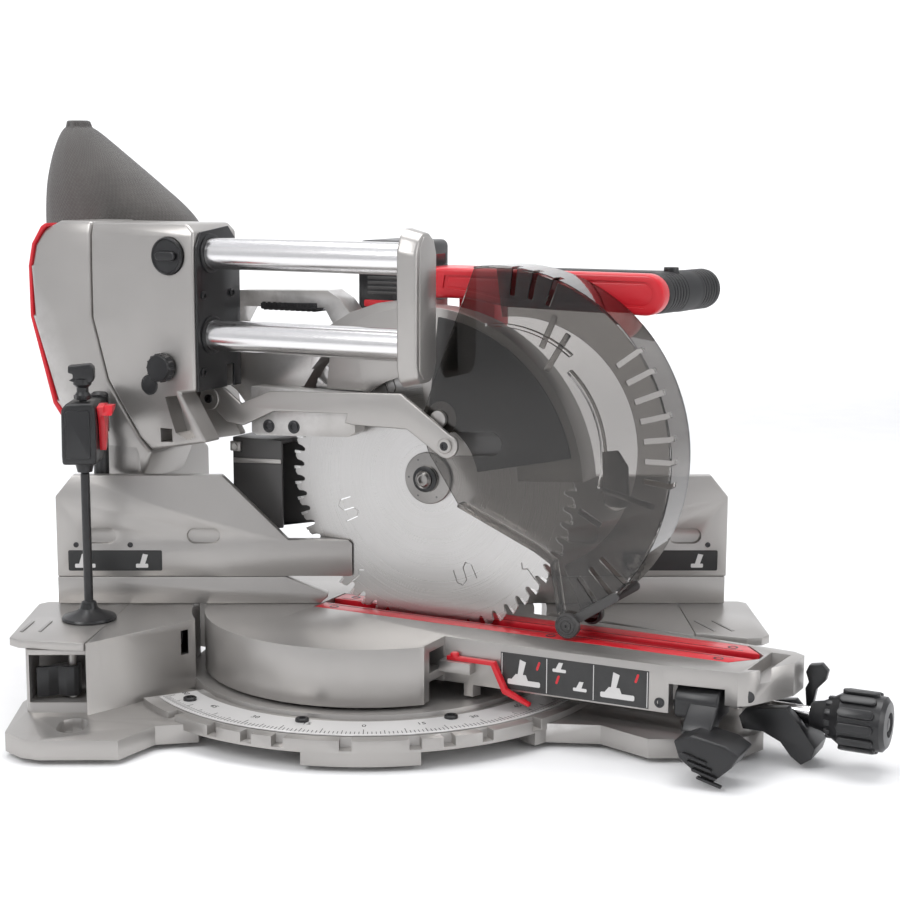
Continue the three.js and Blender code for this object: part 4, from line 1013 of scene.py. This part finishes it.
# ---- dust bag ------------------------------------------------------------------------------
# Stations up the bag: height, middle, half length and half width.
BAG = [(264, -251, 23, 21), (272, -258, 34, 27), (286, -282, 64, 35), (306, -305, 88, 40),
       (332, -314, 100, 42), (356, -319, 104, 42.5), (384, -330, 94, 41.5),
       (412, -347, 74, 38.5), (438, -362, 52, 33), (458, -372, 34, 26), (470, -377, 22, 18),
       (476, -379, 10, 9)]
BAG_L = -41
BAG_GIRTH = 0.42  # metres of cloth round the bag and up it, for the weave's map
BAG_RISE = 0.25
BAG_SQUASH = 0.86  # under 1 squares the section a little
SETTLE_FRAMES = 18
SETTLE_LIMIT = 5.5  # how far the simulation may move a point, in millimetres


def smooth_station(share):
    """A station of the bag between the drawn ones, on a Catmull-Rom curve."""
    place = share * (len(BAG) - 1)
    index = min(int(place), len(BAG) - 2)
    t = place - index
    last = len(BAG) - 1
    rows = [BAG[max(0, min(last, index + shift))] for shift in (-1, 0, 1, 2)]
    return [0.5 * (2 * q + (r - p) * t + (2 * p - 5 * q + 4 * r - s) * t * t
                   + (3 * q - p - 3 * r + s) * t ** 3) for p, q, r, s in zip(*rows)]


def build_dust_bag():
    """Sewn cloth bag: a lofted shell that a short cloth simulation settles."""
    around, rows = 120, 84
    bm = bmesh.new()
    weave = bm.loops.layers.uv.new("weave")
    pins = bm.verts.layers.deform.new()
    rings = []
    for row in range(rows + 1):
        h, middle, half_length, half_width = smooth_station(row / rows)
        ring = []
        for step in range(around):
            turn = tau * step / around
            c, s = cos(turn), sin(turn)
            a = middle + half_length * (abs(c) ** BAG_SQUASH) * (1 if c > 0 else -1)
            l = BAG_L + half_width * (abs(s) ** BAG_SQUASH) * (1 if s > 0 else -1)
            ring.append(bm.verts.new(at(a, l, h)))
        rings.append(ring)
    for row in range(rows):
        low, high = rings[row], rings[row + 1]
        for step in range(around):
            nxt = (step + 1) % around
            face = bm.faces.new((low[step], low[nxt], high[nxt], high[step]))
            for loop, (i, j) in zip(face.loops, ((step, row), (step + 1, row),
                                                 (step + 1, row + 1), (step, row + 1))):
                loop[weave].uv = (i * (BAG_GIRTH / around), j * (BAG_RISE / rows))
    cap = bm.faces.new(rings[-1])
    bmesh.ops.poke(bm, faces=[cap])
    foot = bm.faces.new(list(reversed(rings[0])))
    bmesh.ops.poke(bm, faces=[foot])
    bmesh.ops.recalc_face_normals(bm, faces=bm.faces)
    for row, ring in enumerate(rings):
        weight = 1.0 if row < 4 or row > rows - 3 else 0.0
        for vert in ring:
            vert[pins][0] = weight
    bag = piece("dust_bag_cloth", bm, "cloth", "carriage", ["dust_bag"], smooth=180)
    bag.vertex_groups.new(name="pins")
    settle(bag)
    crease(bag)
    bm = bmesh.new()
    lathe(bm, [(21.5, 254), (24.2, 254), (25.4, 256), (25.4, 268), (24.2, 270), (22.5, 270),
               (21.5, 254)], at(-251, -38, 0), UP, 48)
    piece("dust_bag_collar", bm, "black", "carriage")


def settle(bag):
    """Cloth simulation with a little pressure, each point held close to where it began."""
    start = [vert.co.copy() for vert in bag.data.vertices]
    cloth = bag.modifiers.new("settle", "CLOTH")
    cloth.settings.quality = 6
    cloth.settings.mass = 0.15
    cloth.settings.tension_stiffness = 12
    cloth.settings.compression_stiffness = 6
    cloth.settings.shear_stiffness = 3
    cloth.settings.bending_stiffness = 0.08
    cloth.settings.vertex_group_mass = "pins"
    cloth.settings.use_pressure = True
    cloth.settings.uniform_pressure_force = 2.0
    cloth.settings.shrink_min = -0.035
    cloth.settings.effector_weights.gravity = 0.35
    scene = bpy.context.scene
    for frame_number in range(1, SETTLE_FRAMES + 1):
        scene.frame_set(frame_number)
    seen = bag.evaluated_get(bpy.context.evaluated_depsgraph_get())
    ends = [vert.co.copy() for vert in seen.to_mesh().vertices]
    seen.to_mesh_clear()
    bag.modifiers.remove(cloth)
    limit = SETTLE_LIMIT * MM
    for vert, first, last in zip(bag.data.vertices, start, ends):
        step = last - first
        if step.length > limit:
            step *= limit / step.length
        vert.co = first + step
    scene.frame_set(1)


def crease(bag):
    """Shallow folds that run up from the gathered neck."""
    for vert in bag.data.vertices:
        a, l, h = in_arm(vert.co)
        near = max(0.0, 1 - (h - 268) / 150) * min(1.0, (h - 262) / 20)
        wave = sin(a * 0.16 + 0.7 * sin(h * 0.05)) + 0.5 * sin(a * 0.37 + h * 0.06)
        side = 1 if l > BAG_L else -1
        vert.co += LEFT * (side * wave * 0.9 * near * MM * min(1, abs(l - BAG_L) / 20))


# ---- saw head ------------------------------------------------------------------------------
def build_head():
    edge = sizes().casting_edge / MM
    refined("head_casting", "silver", edge * 0.8)
    refined("fixed_guard", "silver", 0.7)
    refined("drive_belt", "rubber", 0.3)
    refined("dust_chute", "grey", 0.9)
    bm = bmesh.new()
    cover = (arc(ARBOR, 157, 12, 84, 24) + arc(ARBOR, 60, 84, 12, 14))
    side_slab(bm, cover, 14.35, 16.6, 1.0)
    piece("guard_side_cover", bm, "grey", "head")
    bm = bmesh.new()
    for a, h in ((-98, 186), (-69, 187)):
        socket_screw(bm, at(a, 28, h - 10), LEFT, 4.9, 1.4)
        lathe(bm, [(0, 0), (6.6, 0), (6.6, 0.5), (0, 0.5)], at(a, 27.9, h - 10), LEFT, 28)
    for a, h in ((84, 226), (100, 246)):
        socket_screw(bm, at(a, 14, h), LEFT, 4.0, 1.2)
    piece("head_screws", bm, "black_steel", "head")
    bm = bmesh.new()
    side_slab(bm, [(-141, 292.5), (-74, 294.5), (-74, 287.5), (-141, 286)], -54.8, -25.2, 1.2)
    for index in range(10):
        start = -138.5 + index * 6.4
        side_slab(bm, round_box(start, start + 4.2, 289.6, 293.6, 1), -25.4, -24.4, 0.4)
        side_slab(bm, [(start, 286.4), (start + 4.2, 286.6), (start + 4.2, 285.2),
                       (start, 285.0)], -53, -27, 0.4)
    piece("carry_grip", bm, "rubber", "head")
    bm = bmesh.new()
    front_slab(bm, [(-23, 84), (17.6, 84), (17.6, 92), (-23, 92)], -152, -143, 1.0)
    side_slab(bm, [(-151, 146), (-139, 146), (-139, 156), (-151, 156)], 15.2, 18.4, 0.8)
    lathe(bm, [(0, 0), (3.2, 0), (3.2, 1.6), (0, 1.6)], at(-145, 18.2, 151), LEFT, 20)
    side_slab(bm, [(-148, 134), (-92, 137), (-92, 141), (-148, 139)], 15.2, 16.8, 0.5)
    piece("chute_bracket", bm, "silver", "head")


def build_motor():
    x, z = MOTOR_AXIS
    bm = bmesh.new()
    lathe(bm, [(43.2, -70.4), (47, -70.4), (47, -84), (45.4, -86), (45.4, -90), (47, -92),
               (47, -128), (44.5, -138), (39, -144), (32, -146.4), (0, -146.4), (0, -142),
               (30, -142), (36, -138), (43.2, -128), (43.2, -70.4)], at(x, 0, z), LEFT, 72)
    shell = piece("motor_cover", bm, "black", "head", ["motor_housing"])
    vents = bmesh.new()
    for index in range(18):
        out, across = spoke(FORWARD, tau * index / 18)
        slab(vents, spread_on(at(x, 0, z) + out * (41 * MM), LEFT, across,
                              capsule((-122, 0), (-102, 0), 2.2, 4)), out * (8 * MM))
    for index in range(10):
        out, across = spoke(FORWARD, tau * index / 10)
        slab(vents, spread_on(at(x, -150, z), out, across, capsule((14, 0), (27, 0), 1.8, 4)),
             LEFT * (12 * MM))
    combine(shell, "DIFFERENCE", [vents])
    refined("motor_stator", "black_steel", 0.4)
    bm = bmesh.new()
    lathe(bm, [(0, 0), (8, 0), (8, 0.6), (15, 0.6), (15, 16), (10, 16), (10, 24), (5, 24),
               (5, 36), (29.6, 36), (30, 36.6), (30, 75.4), (29.6, 76), (5, 76), (5, 88), (0, 88)],
          at(x, -42.5, z), -LEFT, 48)
    piece("motor_armature", bm, "plate", "motor_rotor", ["motor_rotor"])


def build_handle():
    """Red bridge with a let-in panel, the ringed rubber grip and its far arm."""
    bm = bmesh.new()
    near = (arc((270, 314), 19, -90, 90, 14)
            + [(90, 333), (60, 333), (20, 322), (20, 304), (90, 304), (130, 298)])
    side_slab(bm, near, -47, -30, 3.2, 3)
    plan_slab(bm, [(30, -56), (62, -56), (62, -40), (30, -40)], 303, 330, 2)
    plan_slab(bm, [(18, -136), (62, -136), (62, -50), (18, -50)], 303.5, 330, 3, 3)
    plan_slab(bm, [(60, -104), (100, -104), (100, -72), (60, -72)], 259.5, 306, 2)
    bridge = piece("handle_bridge", bm, "red", "head", ["main_handle"])
    panel = (arc((268, 314), 12, -90, 90, 12)
             + [(96, 326), (66, 326), (64, 314), (96, 311), (132, 304)])
    combine(bridge, "DIFFERENCE", [side_cutter(panel, -31.4, -20)])
    bm = bmesh.new()
    inner = (arc((267, 314), 10, -90, 90, 12)
             + [(98, 324), (70, 324), (68, 315.4), (98, 312.4), (134, 306)])
    side_slab(bm, inner, -33, -31.0, 0.9, 3)
    piece("handle_panel", bm, "red", "head")
    axis = (FORWARD * 0.16 - LEFT).normalized()
    rings = []
    for start in (4, 64):
        for index in range(6):
            d = start + index * 5.2
            rings += [(19.0, d), (19.2, d + 1.0), (19.2, d + 3.4), (18.9, d + 4.0),
                      (17.9, d + 4.3), (17.9, d + 4.9)]
    profile = [(0, 0), (17.4, 0), (18.6, 1.4), *rings[:36], (19.1, 36), (19.5, 46), (19.3, 60),
               *rings[36:], (18.6, 97), (16.8, 99), (0, 99)]
    bm = bmesh.new()
    lathe(bm, profile, at(270, -50.6, 314), axis, 56)
    grip = piece("grip_sleeve", bm, "rubber", "head", ["handle_grip"])
    slot = bmesh.new()
    plan_slab(slot, [(230, -103), (275, -103), (275, -60), (230, -60)], 304, 324)
    well = turned_cutter([(0, 327), (7.4, 327), (7.4, 345), (0, 345)],
                         FORWARD * (275.5 * MM) - LEFT * (84 * MM) + UP * TABLE, UP, 32)
    combine(grip, "DIFFERENCE", [slot, well])
    bm = bmesh.new()
    plan_slab(bm, [(62.4, -136), (62.4, -122), (240, -128), (276, -139), (286, -146), (284, -152),
                   (240, -148)], 312, 330, 2.6, 3)
    for index in range(7):
        start = 90 + index * 7
        plan_slab(bm, [(start, -133.5), (start + 3.6, -133.5), (start + 3.6, -128),
                       (start, -128)], 329.5, 330.0, 0.3)
    piece("handle_far_arm", bm, "black", "head")
    refined("trigger", "black", 1.6, 3)
    refined("lock_off_button", "black", 0.8, 2)


def build_battery():
    bm = bmesh.new()
    side_slab(bm, round_box(-48, 17, 272, 356, 7), -134, -62, 2.4, 3)
    side_slab(bm, round_box(-43, 12, 278, 350, 5), -136, -60, 1.2, 2)
    piece("battery_case", bm, "black", "battery", ["battery"])
    bm = bmesh.new()
    for h in (290, 332):
        for l0, l1 in ((-60.6, -59.6), (-136.2, -135.4)):
            side_slab(bm, round_box(-40, 9, h, h + 7, 2), l0, l1, 0.3)
    front_slab(bm, round_box(-128, -68, 330, 342, 3), 16.4, 17.0, 0.3)
    piece("battery_stripes", bm, "red", "battery")
    bm = bmesh.new()
    for index in range(5):
        h = 303 + index * 5
        side_slab(bm, round_box(-36, 5, h, h + 2.6, 1), -60.6, -59.7, 0.3)
    piece("battery_ribs", bm, "grey", "battery")


# ---- blade ---------------------------------------------------------------------------------
def build_blade():
    """Ground plate with its tooth gullets, brazed tips and expansion slots."""
    teeth = sizes().teeth
    pitch = 360 / teeth
    bm = bmesh.new()

    def rim(radius, share):
        turn = radians(-pitch * share)
        return at(ARBOR[0] + radius * cos(turn), -1.3, ARBOR[1] + radius * sin(turn))

    sector = [rim(15.2, 1.0), rim(60, 1.0), rim(BLADE_R - 10.5, 1.0), rim(BLADE_R - 2.0, 0.99),
              rim(BLADE_R - 1.6, 0.62), rim(BLADE_R - 3.6, 0.42), rim(BLADE_R - 8.5, 0.36),
              rim(BLADE_R - 11.6, 0.24), rim(BLADE_R - 12.0, 0.12), rim(BLADE_R - 10.5, 0.0),
              rim(60, 0.0), rim(15.2, 0.0)]
    face = bm.faces.new([bm.verts.new(point) for point in sector])
    bmesh.ops.spin(bm, geom=[face, *face.edges, *face.verts],
                   cent=at(ARBOR[0], 0, ARBOR[1]), axis=LEFT, dvec=(0, 0, 0), angle=tau,
                   steps=teeth, use_merge=False, use_duplicate=True)
    bmesh.ops.remove_doubles(bm, verts=bm.verts, dist=2e-5)
    seen = set()
    for face in list(bm.faces):
        key = tuple(round(c, 5) for c in face.calc_center_median())
        if key in seen:
            bm.faces.remove(face)
        seen.add(key)
    grown = bmesh.ops.extrude_face_region(bm, geom=list(bm.faces), use_keep_orig=True)
    far = [part for part in grown["geom"] if isinstance(part, bmesh.types.BMVert)]
    bmesh.ops.translate(bm, verts=far, vec=LEFT * (2.6 * MM))
    bmesh.ops.recalc_face_normals(bm, faces=bm.faces)
    plate = piece("blade_plate", bm, "blade", "blade", ["blade"])
    slots = bmesh.new()
    for index in range(4):
        middle = 20 + 90 * index
        path = [(92, -3.4), (104, -3.0), (108, 0.0), (104, 3.0), (92, 3.4), (88, 6.4), (92, 9.4),
                (106, 9.0)]
        groove(slots, path, middle, 0.45)
        rimward = [(BLADE_R - 10, 32), (BLADE_R - 22, 33.2), (BLADE_R - 26, 31.4),
                   (BLADE_R - 30, 33.4)]
        groove(slots, rimward, middle, 0.5)
    combine(plate, "DIFFERENCE", [slots])
    bm = bmesh.new()
    for index in range(teeth):
        base = -pitch * index
        outline = []
        for radius, share in ((BLADE_R, 0.99), (BLADE_R - 0.6, 0.80), (BLADE_R - 7.2, 0.86),
                              (BLADE_R - 7.2, 1.0)):
            turn = radians(base - pitch * share)
            outline.append((ARBOR[0] + radius * cos(turn), ARBOR[1] + radius * sin(turn)))
        side_slab(bm, outline, -1.55, 1.55)
    piece("blade_tips", bm, "plate", "blade")
    x, z = ARBOR
    bm = bmesh.new()
    lathe(bm, [(0, 0), (4.4, 0), (4.4, -3.4), (5.4, -3.4), (7.6, -0.6), (8.4, -1.2), (8.4, 2.6),
               (12.8, 3.4), (13.0, 6.3), (15.4, 6.6), (24.4, 7.9), (25.0, 8.6), (25.0, 11.2),
               (15, 11.2), (15, 14.6), (21, 14.6), (21, 18), (10, 18), (10, 58.6), (22, 58.6),
               (22, 69.4), (10, 69.4), (10, 80), (0, 80)], at(x, 12.9, z), -LEFT, 56)
    piece("arbor_flange", bm, "flange", "blade", ["arbor"])
    bm = bmesh.new()
    for index in range(6):
        turn = tau * index / 6
        centre = at(x + 20 * cos(turn), 5.5, z + 20 * sin(turn))
        lathe(bm, [(0, 0), (1.0, 0), (1.0, 0.35), (0, 0.35)], centre, LEFT, 10)
    piece("flange_dots", bm, "black_steel", "blade")
    bm = bmesh.new()
    lathe(bm, [(8.6, 9.4), (12.6, 9.4), (12.4, 11.6), (10.2, 12.4), (8.6, 12.4), (8.6, 9.4)],
          at(x, 0, z), LEFT, 40)
    piece("flange_ring", bm, "black", "blade")


def groove(bm, path, turn, half):
    """A narrow slot that follows a path given as radius and degrees, cut right through."""
    points = [(ARBOR[0] + r * cos(radians(turn + t)), ARBOR[1] + r * sin(radians(turn + t)))
              for r, t in path]
    for (a0, h0), (a1, h1) in zip(points, points[1:]):
        side_slab(bm, capsule((a0, h0), (a1, h1), half, 3), -3, 3)


# ---- swinging guard ------------------------------------------------------------------------
GUARD_WALL = [(76, 213), (68, 190), (77, 162), (108, 116), (188, 81), (206, 70), (214, 22)]
COMB = (84, 77, 70, 36, 29, 22, 15, 8, 1, -6, -40, -46, -52)


def rim_point(degrees, radius):
    return (GUARD_CENTRE[0] + radius * cos(radians(degrees)),
            GUARD_CENTRE[1] + radius * sin(radians(degrees)))


def spoke_outline(degree, r0, r1, half=2.6):
    """A straight bar that points away from the guard's centre."""
    turn = radians(degree)
    x, z = -sin(turn) * half, cos(turn) * half
    (px, pz), (qx, qz) = rim_point(degree, r0), rim_point(degree, r1)
    return [(px + x, pz + z), (px - x, pz - z), (qx - x, qz - z), (qx + x, qz + z)]


def band(r0, r1, start, end, steps=40):
    return (arc(GUARD_CENTRE, r1, start, end, steps)
            + arc(GUARD_CENTRE, r0, end, start, steps))


def build_swing_guard():
    """Smoke clear guard: walls, rim, comb slots, ribs and roller ears."""
    bm = bmesh.new()
    wall = arc(GUARD_CENTRE, GUARD_R - 1.3, -65.8, 97.8, 60) + GUARD_WALL
    side_slab(bm, wall, 20.4, 22.7)
    guard = piece("guard_shell", bm, "smoke", "swing_guard", ["swing_guard"])
    front = [(108, 116), (188, 81), (206, 70), (214, 22), (211, 22), (203, 68), (187, 77.6),
             (107, 112.6)]
    ear = capsule((223.7, 13.5), (226, 50), 9, 10)
    ears = side_cutter(ear, 20.6, 22.5)
    side_slab(ears, ear, -26.6, -24.4)
    combine(guard, "UNION", [
        side_cutter(band(GUARD_R - 2.6, GUARD_R, -66, 98, 60), -27, 23, 0.5, 1),
        side_cutter(band(122, GUARD_R - 1.3, -65.8, 97.8, 60), -26.8, -24.6),
        ears,
        side_cutter(band(116, 119, 52, 96, 20), 14, 21),
        side_cutter(band(104, 107, -14, 48, 24), 12, 21),
        side_cutter(front, 8, 22.3)])
    comb = bmesh.new()
    for degree in COMB:
        long = 26 if degree > -20 else 34
        side_slab(comb, spoke_outline(degree, GUARD_R - long, GUARD_R + 4), 8, 26)
    combine(guard, "DIFFERENCE", [
        comb,
        turned_cutter([(0, 0), (8.5, 0), (8.5, 40), (0, 40)],
                      at(GUARD_PIVOT[0], 0, GUARD_PIVOT[1]), LEFT, 32),
        turned_cutter([(0, -40), (3.5, -40), (3.5, 40), (0, 40)], at(ROLLER[0], 0, ROLLER[1]),
                      LEFT, 20),
        side_cutter(capsule((101, 172), (142, 175), 13.5, 10), 22.2, 26),
        side_cutter(capsule((101, 172), (142, 175), 11, 10), 18, 26)])
    build_guard_trim()


def build_guard_trim():
    bm = bmesh.new()
    for degree, start, end in ((66, 108, 140), (58, 92, 132), (-14, 108, 160), (-30, 96, 120)):
        side_slab(bm, spoke_outline(degree, start, end), 16.6, 20.2, 0.4)
    lug = [(252, 176), (266, 178), (276, 164), (278, 128), (266, 122), (254, 128)]
    side_slab(bm, lug, 14.4, 20.2, 1.2)
    piece("guard_ribs", bm, "smoke", "swing_guard")
    bm = bmesh.new()
    side_slab(bm, capsule((228, 18), (268, 44), 4.6, 6), 23.05, 25.4, 0.8)
    side_slab(bm, capsule((228, 18), (268, 44), 4.6, 6), -29.6, -27.2, 0.8)
    piece("guard_lower_arm", bm, "grey", "swing_guard")
    x, z = ROLLER
    bm = bmesh.new()
    for start, side in ((23.5, 1), (-27.5, -1)):
        spot = at(x, start, z)
        lathe(bm, [(0, 0), (11.0, 0), (11.7, 0.9), (11.7, 5.8), (11.2, 6.6), (9.8, 6.9),
                   (9.2, 6.3), (8.0, 6.3), (7.4, 6.9), (5.8, 6.9), (5.4, 6.2), (4.4, 6.2),
                   (4.0, 6.9), (1.6, 6.9), (1.4, 5.6), (0, 5.6)], spot, LEFT * side, 48)
    lathe(bm, [(0, -30), (3, -30), (3, 26), (0, 26)], at(x, 0, z), LEFT, 20)
    piece("roller_pair", bm, "grey", "guard_rollers", ["guard_rollers"])


def build_link():
    """Pressed link plate with its raised rear boss and pin screws."""
    bm = bmesh.new()
    shape = ([(-176, 200), (-173, 209), (-163, 213), (-147, 211.5), (-127, 197), (-93, 211.5),
              (53, 218), (104, 183)] + arc((101, 172), 12, 40, -120, 12)
             + [(60, 184.5), (2, 184.5), (-8, 186), (-5, 195), (-88, 192), (-112, 181),
                (-125, 175.5), (-144, 178), (-157, 190), (-172, 191)])
    side_slab(bm, shape, 29.5, 34.5, 1.1, 3)
    lathe(bm, [(5.4, 29.6), (11, 29.6), (11, 35.6), (10.4, 36), (5.4, 36), (5.4, 29.6)],
          at(-163, 0, 200), LEFT, 40)
    lathe(bm, [(0, 30), (6.6, 30), (7, 30.4), (7, 37.4), (6.4, 38), (3.6, 38), (3.2, 36.4),
               (0, 36.4)], at(101, 0, 172), LEFT, 40)
    piece("link_plate", bm, "silver", "guard_link", ["guard_link"])
    bm = bmesh.new()
    for a, h, r in ((101, 172, 4.6), (-163, 200, 4.4)):
        lathe(bm, [(0, 0), (r, 0), (r, 1.6), (r * 0.86, 2), (r * 0.5, 2), (r * 0.46, 0.8),
                   (0, 0.8)], at(a, 36.2, h), LEFT, 28)
    piece("link_screws", bm, "black_steel", "guard_link")


# ---- stage ---------------------------------------------------------------------------------
# The camera that was fitted to the photograph: metres, millimetres of lens, degrees of roll.
CAMERA_PLACE = Vector((0.0499, -1.6794, 0.5146))
CAMERA_TARGET = Vector((0.08016, 0.10351, 0.2291))
CAMERA_LENS = 69.75
CAMERA_ROLL = 0.21
FLOOR_FLAT = 4200  # millimetres to where the floor starts to sweep up, and the sweep's radius
FLOOR_SWEEP = 1800


def lamp(name, place, target, size_x, size_y, power, colour=(1, 1, 1)):
    light = bpy.data.lights.new(name, "AREA")
    light.shape = "RECTANGLE"
    light.size = size_x
    light.size_y = size_y
    light.energy = power
    light.color = colour
    made = bpy.data.objects.new(name, light)
    made.location = place
    made.rotation_euler = (Vector(target) - Vector(place)).to_track_quat("-Z", "Y").to_euler()
    bpy.context.collection.objects.link(made)


def pale_floor():
    material, w, shader = new_material("Pale Floor", roughness=0.7)
    grain = place_group(w, grain_group(), Scale=60.0)
    join(w, w.mix(grain["Mottle"], (0.86, 0.86, 0.86, 1), (0.88, 0.88, 0.88, 1)),
         shader.inputs["Base Color"])
    return material


def build_stage():
    """Pale floor that sweeps up all round, soft lamps and the camera."""
    bm = bmesh.new()
    profile = [(0, 0), (1000, 0), (FLOOR_FLAT, 0)]
    profile += [(FLOOR_FLAT + FLOOR_SWEEP * sin(radians(t)),
                 FLOOR_SWEEP - FLOOR_SWEEP * cos(radians(t))) for t in (15, 30, 45, 60, 75, 90)]
    profile += [(FLOOR_FLAT + FLOOR_SWEEP, 6000)]
    lathe(bm, profile, Vector((0, 0, 0)), UP, 96)
    for face in bm.faces:
        face.smooth = True
    floor = as_object("floor", bm)
    floor.data.materials.append(pale_floor())
    lamp("key", (-1.5, -1.5, 1.9), (0, 0, 0.2), 0.9, 1.2, 26)
    lamp("top", (0.1, 0.3, 2.3), (0, 0, 0.2), 2.2, 1.2, 34)
    lamp("right", (2.0, -1.0, 0.9), (0.1, 0, 0.25), 0.4, 1.5, 9)
    lamp("back", (0.2, 3.2, 2.4), (0, 5.5, 1.0), 3.0, 1.5, 60)
    world = bpy.data.worlds.new("soft_world")
    bpy.context.scene.world = world
    world.use_nodes = True
    sky = world.node_tree.nodes["Background"]
    sky.inputs["Color"].default_value = (0.95, 0.96, 1.0, 1)
    sky.inputs["Strength"].default_value = 0.9
    bpy.context.scene.view_settings.view_transform = "Standard"
    view = bpy.data.cameras.new("view")
    view.lens = CAMERA_LENS
    view.sensor_width = 36
    view.clip_start = 0.05
    holder = bpy.data.objects.new("view", view)
    turn = (CAMERA_TARGET - CAMERA_PLACE).to_track_quat("-Z", "Y")
    roll = Matrix.Rotation(radians(CAMERA_ROLL), 4, "Z").to_quaternion()
    holder.location = CAMERA_PLACE
    holder.rotation_euler = (turn @ roll).to_euler()
    bpy.context.collection.objects.link(holder)
    bpy.context.scene.camera = holder


# ---- operators -----------------------------------------------------------------------------
class BuildStep:
    """What the saw's build operators share."""
    bl_options = {"REGISTER", "UNDO"}
    builders = ()

    @classmethod
    def poll(cls, context):
        return context.scene is not None

    def execute(self, context):
        for builder in self.builders:
            builder()
        return {"FINISHED"}


def build_step(name, label, about, *builders):
    """An operator class that runs some of the builders."""
    return type(f"SAW_OT_{name}", (BuildStep, bpy.types.Operator), {
        "__doc__": about, "bl_idname": f"saw.{name}", "bl_label": label, "builders": builders})


STEPS = (
    build_step("stage", "Stage", "Set out the floor, lamps and camera", build_stage),
    build_step("base", "Base", "Build the cast base, its extensions, locks and feet",
               build_base),
    build_step("scale", "Miter Scale", "Build the miter scale with its marks and numbers",
               build_scale),
    build_step("fences", "Fences", "Build the low and tall fences", build_fences),
    build_step("hold_down", "Hold-down", "Build the hold-down clamp", build_hold_down),
    build_step("turntable", "Turntable", "Build the turntable, kerf inserts and front controls",
               build_turntable, build_lock_knob, build_arm_controls),
    build_step("rear", "Rear Housing and Rails", "Build the rear housing and the slide rails",
               build_rear_housing, build_rails),
    build_step("carriage", "Carriage", "Build the sliding carriage", build_carriage),
    build_step("dust_bag", "Dust Bag", "Sew the dust bag", build_dust_bag),
    build_step("head", "Head and Motor", "Build the saw head, motor and battery",
               build_head, build_motor, build_battery),
    build_step("handle", "Main Handle", "Build the main handle, trigger and button",
               build_handle),
    build_step("blade", "Blade", "Build the blade and its flange", build_blade),
    build_step("guard", "Swinging Guard", "Build the swinging guard, its rollers and its link",
               build_swing_guard, build_link),
)


class SAW_PT_panel(bpy.types.Panel):
    """Lists the saw's settings and build steps"""
    bl_label = "Miter Saw"
    bl_idname = "SAW_PT_panel"
    bl_space_type = "VIEW_3D"
    bl_region_type = "UI"
    bl_category = "Miter Saw"

    def draw(self, context):
        layout = self.layout
        for settings, names in (
                (context.scene.saw_sizes, SawSizes.__annotations__),
                (context.scene.saw_colours, SawColours.__annotations__)):
            box = layout.box()
            for name in names:
                box.prop(settings, name)
        for step in STEPS:
            layout.operator(step.bl_idname)


CLASSES = (SawSizes, SawColours, *STEPS, SAW_PT_panel)


def register():
    for cls in CLASSES:
        bpy.utils.register_class(cls)
    bpy.types.Scene.saw_sizes = bpy.props.PointerProperty(type=SawSizes)
    bpy.types.Scene.saw_colours = bpy.props.PointerProperty(type=SawColours)


def unregister():
    del bpy.types.Scene.saw_sizes
    del bpy.types.Scene.saw_colours
    for cls in reversed(CLASSES):
        bpy.utils.unregister_class(cls)


def main():
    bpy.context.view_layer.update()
    register()
    for step in STEPS:
        getattr(bpy.ops.saw, step.bl_idname.split(".")[1])()


if __name__ == "__main__":
    main()
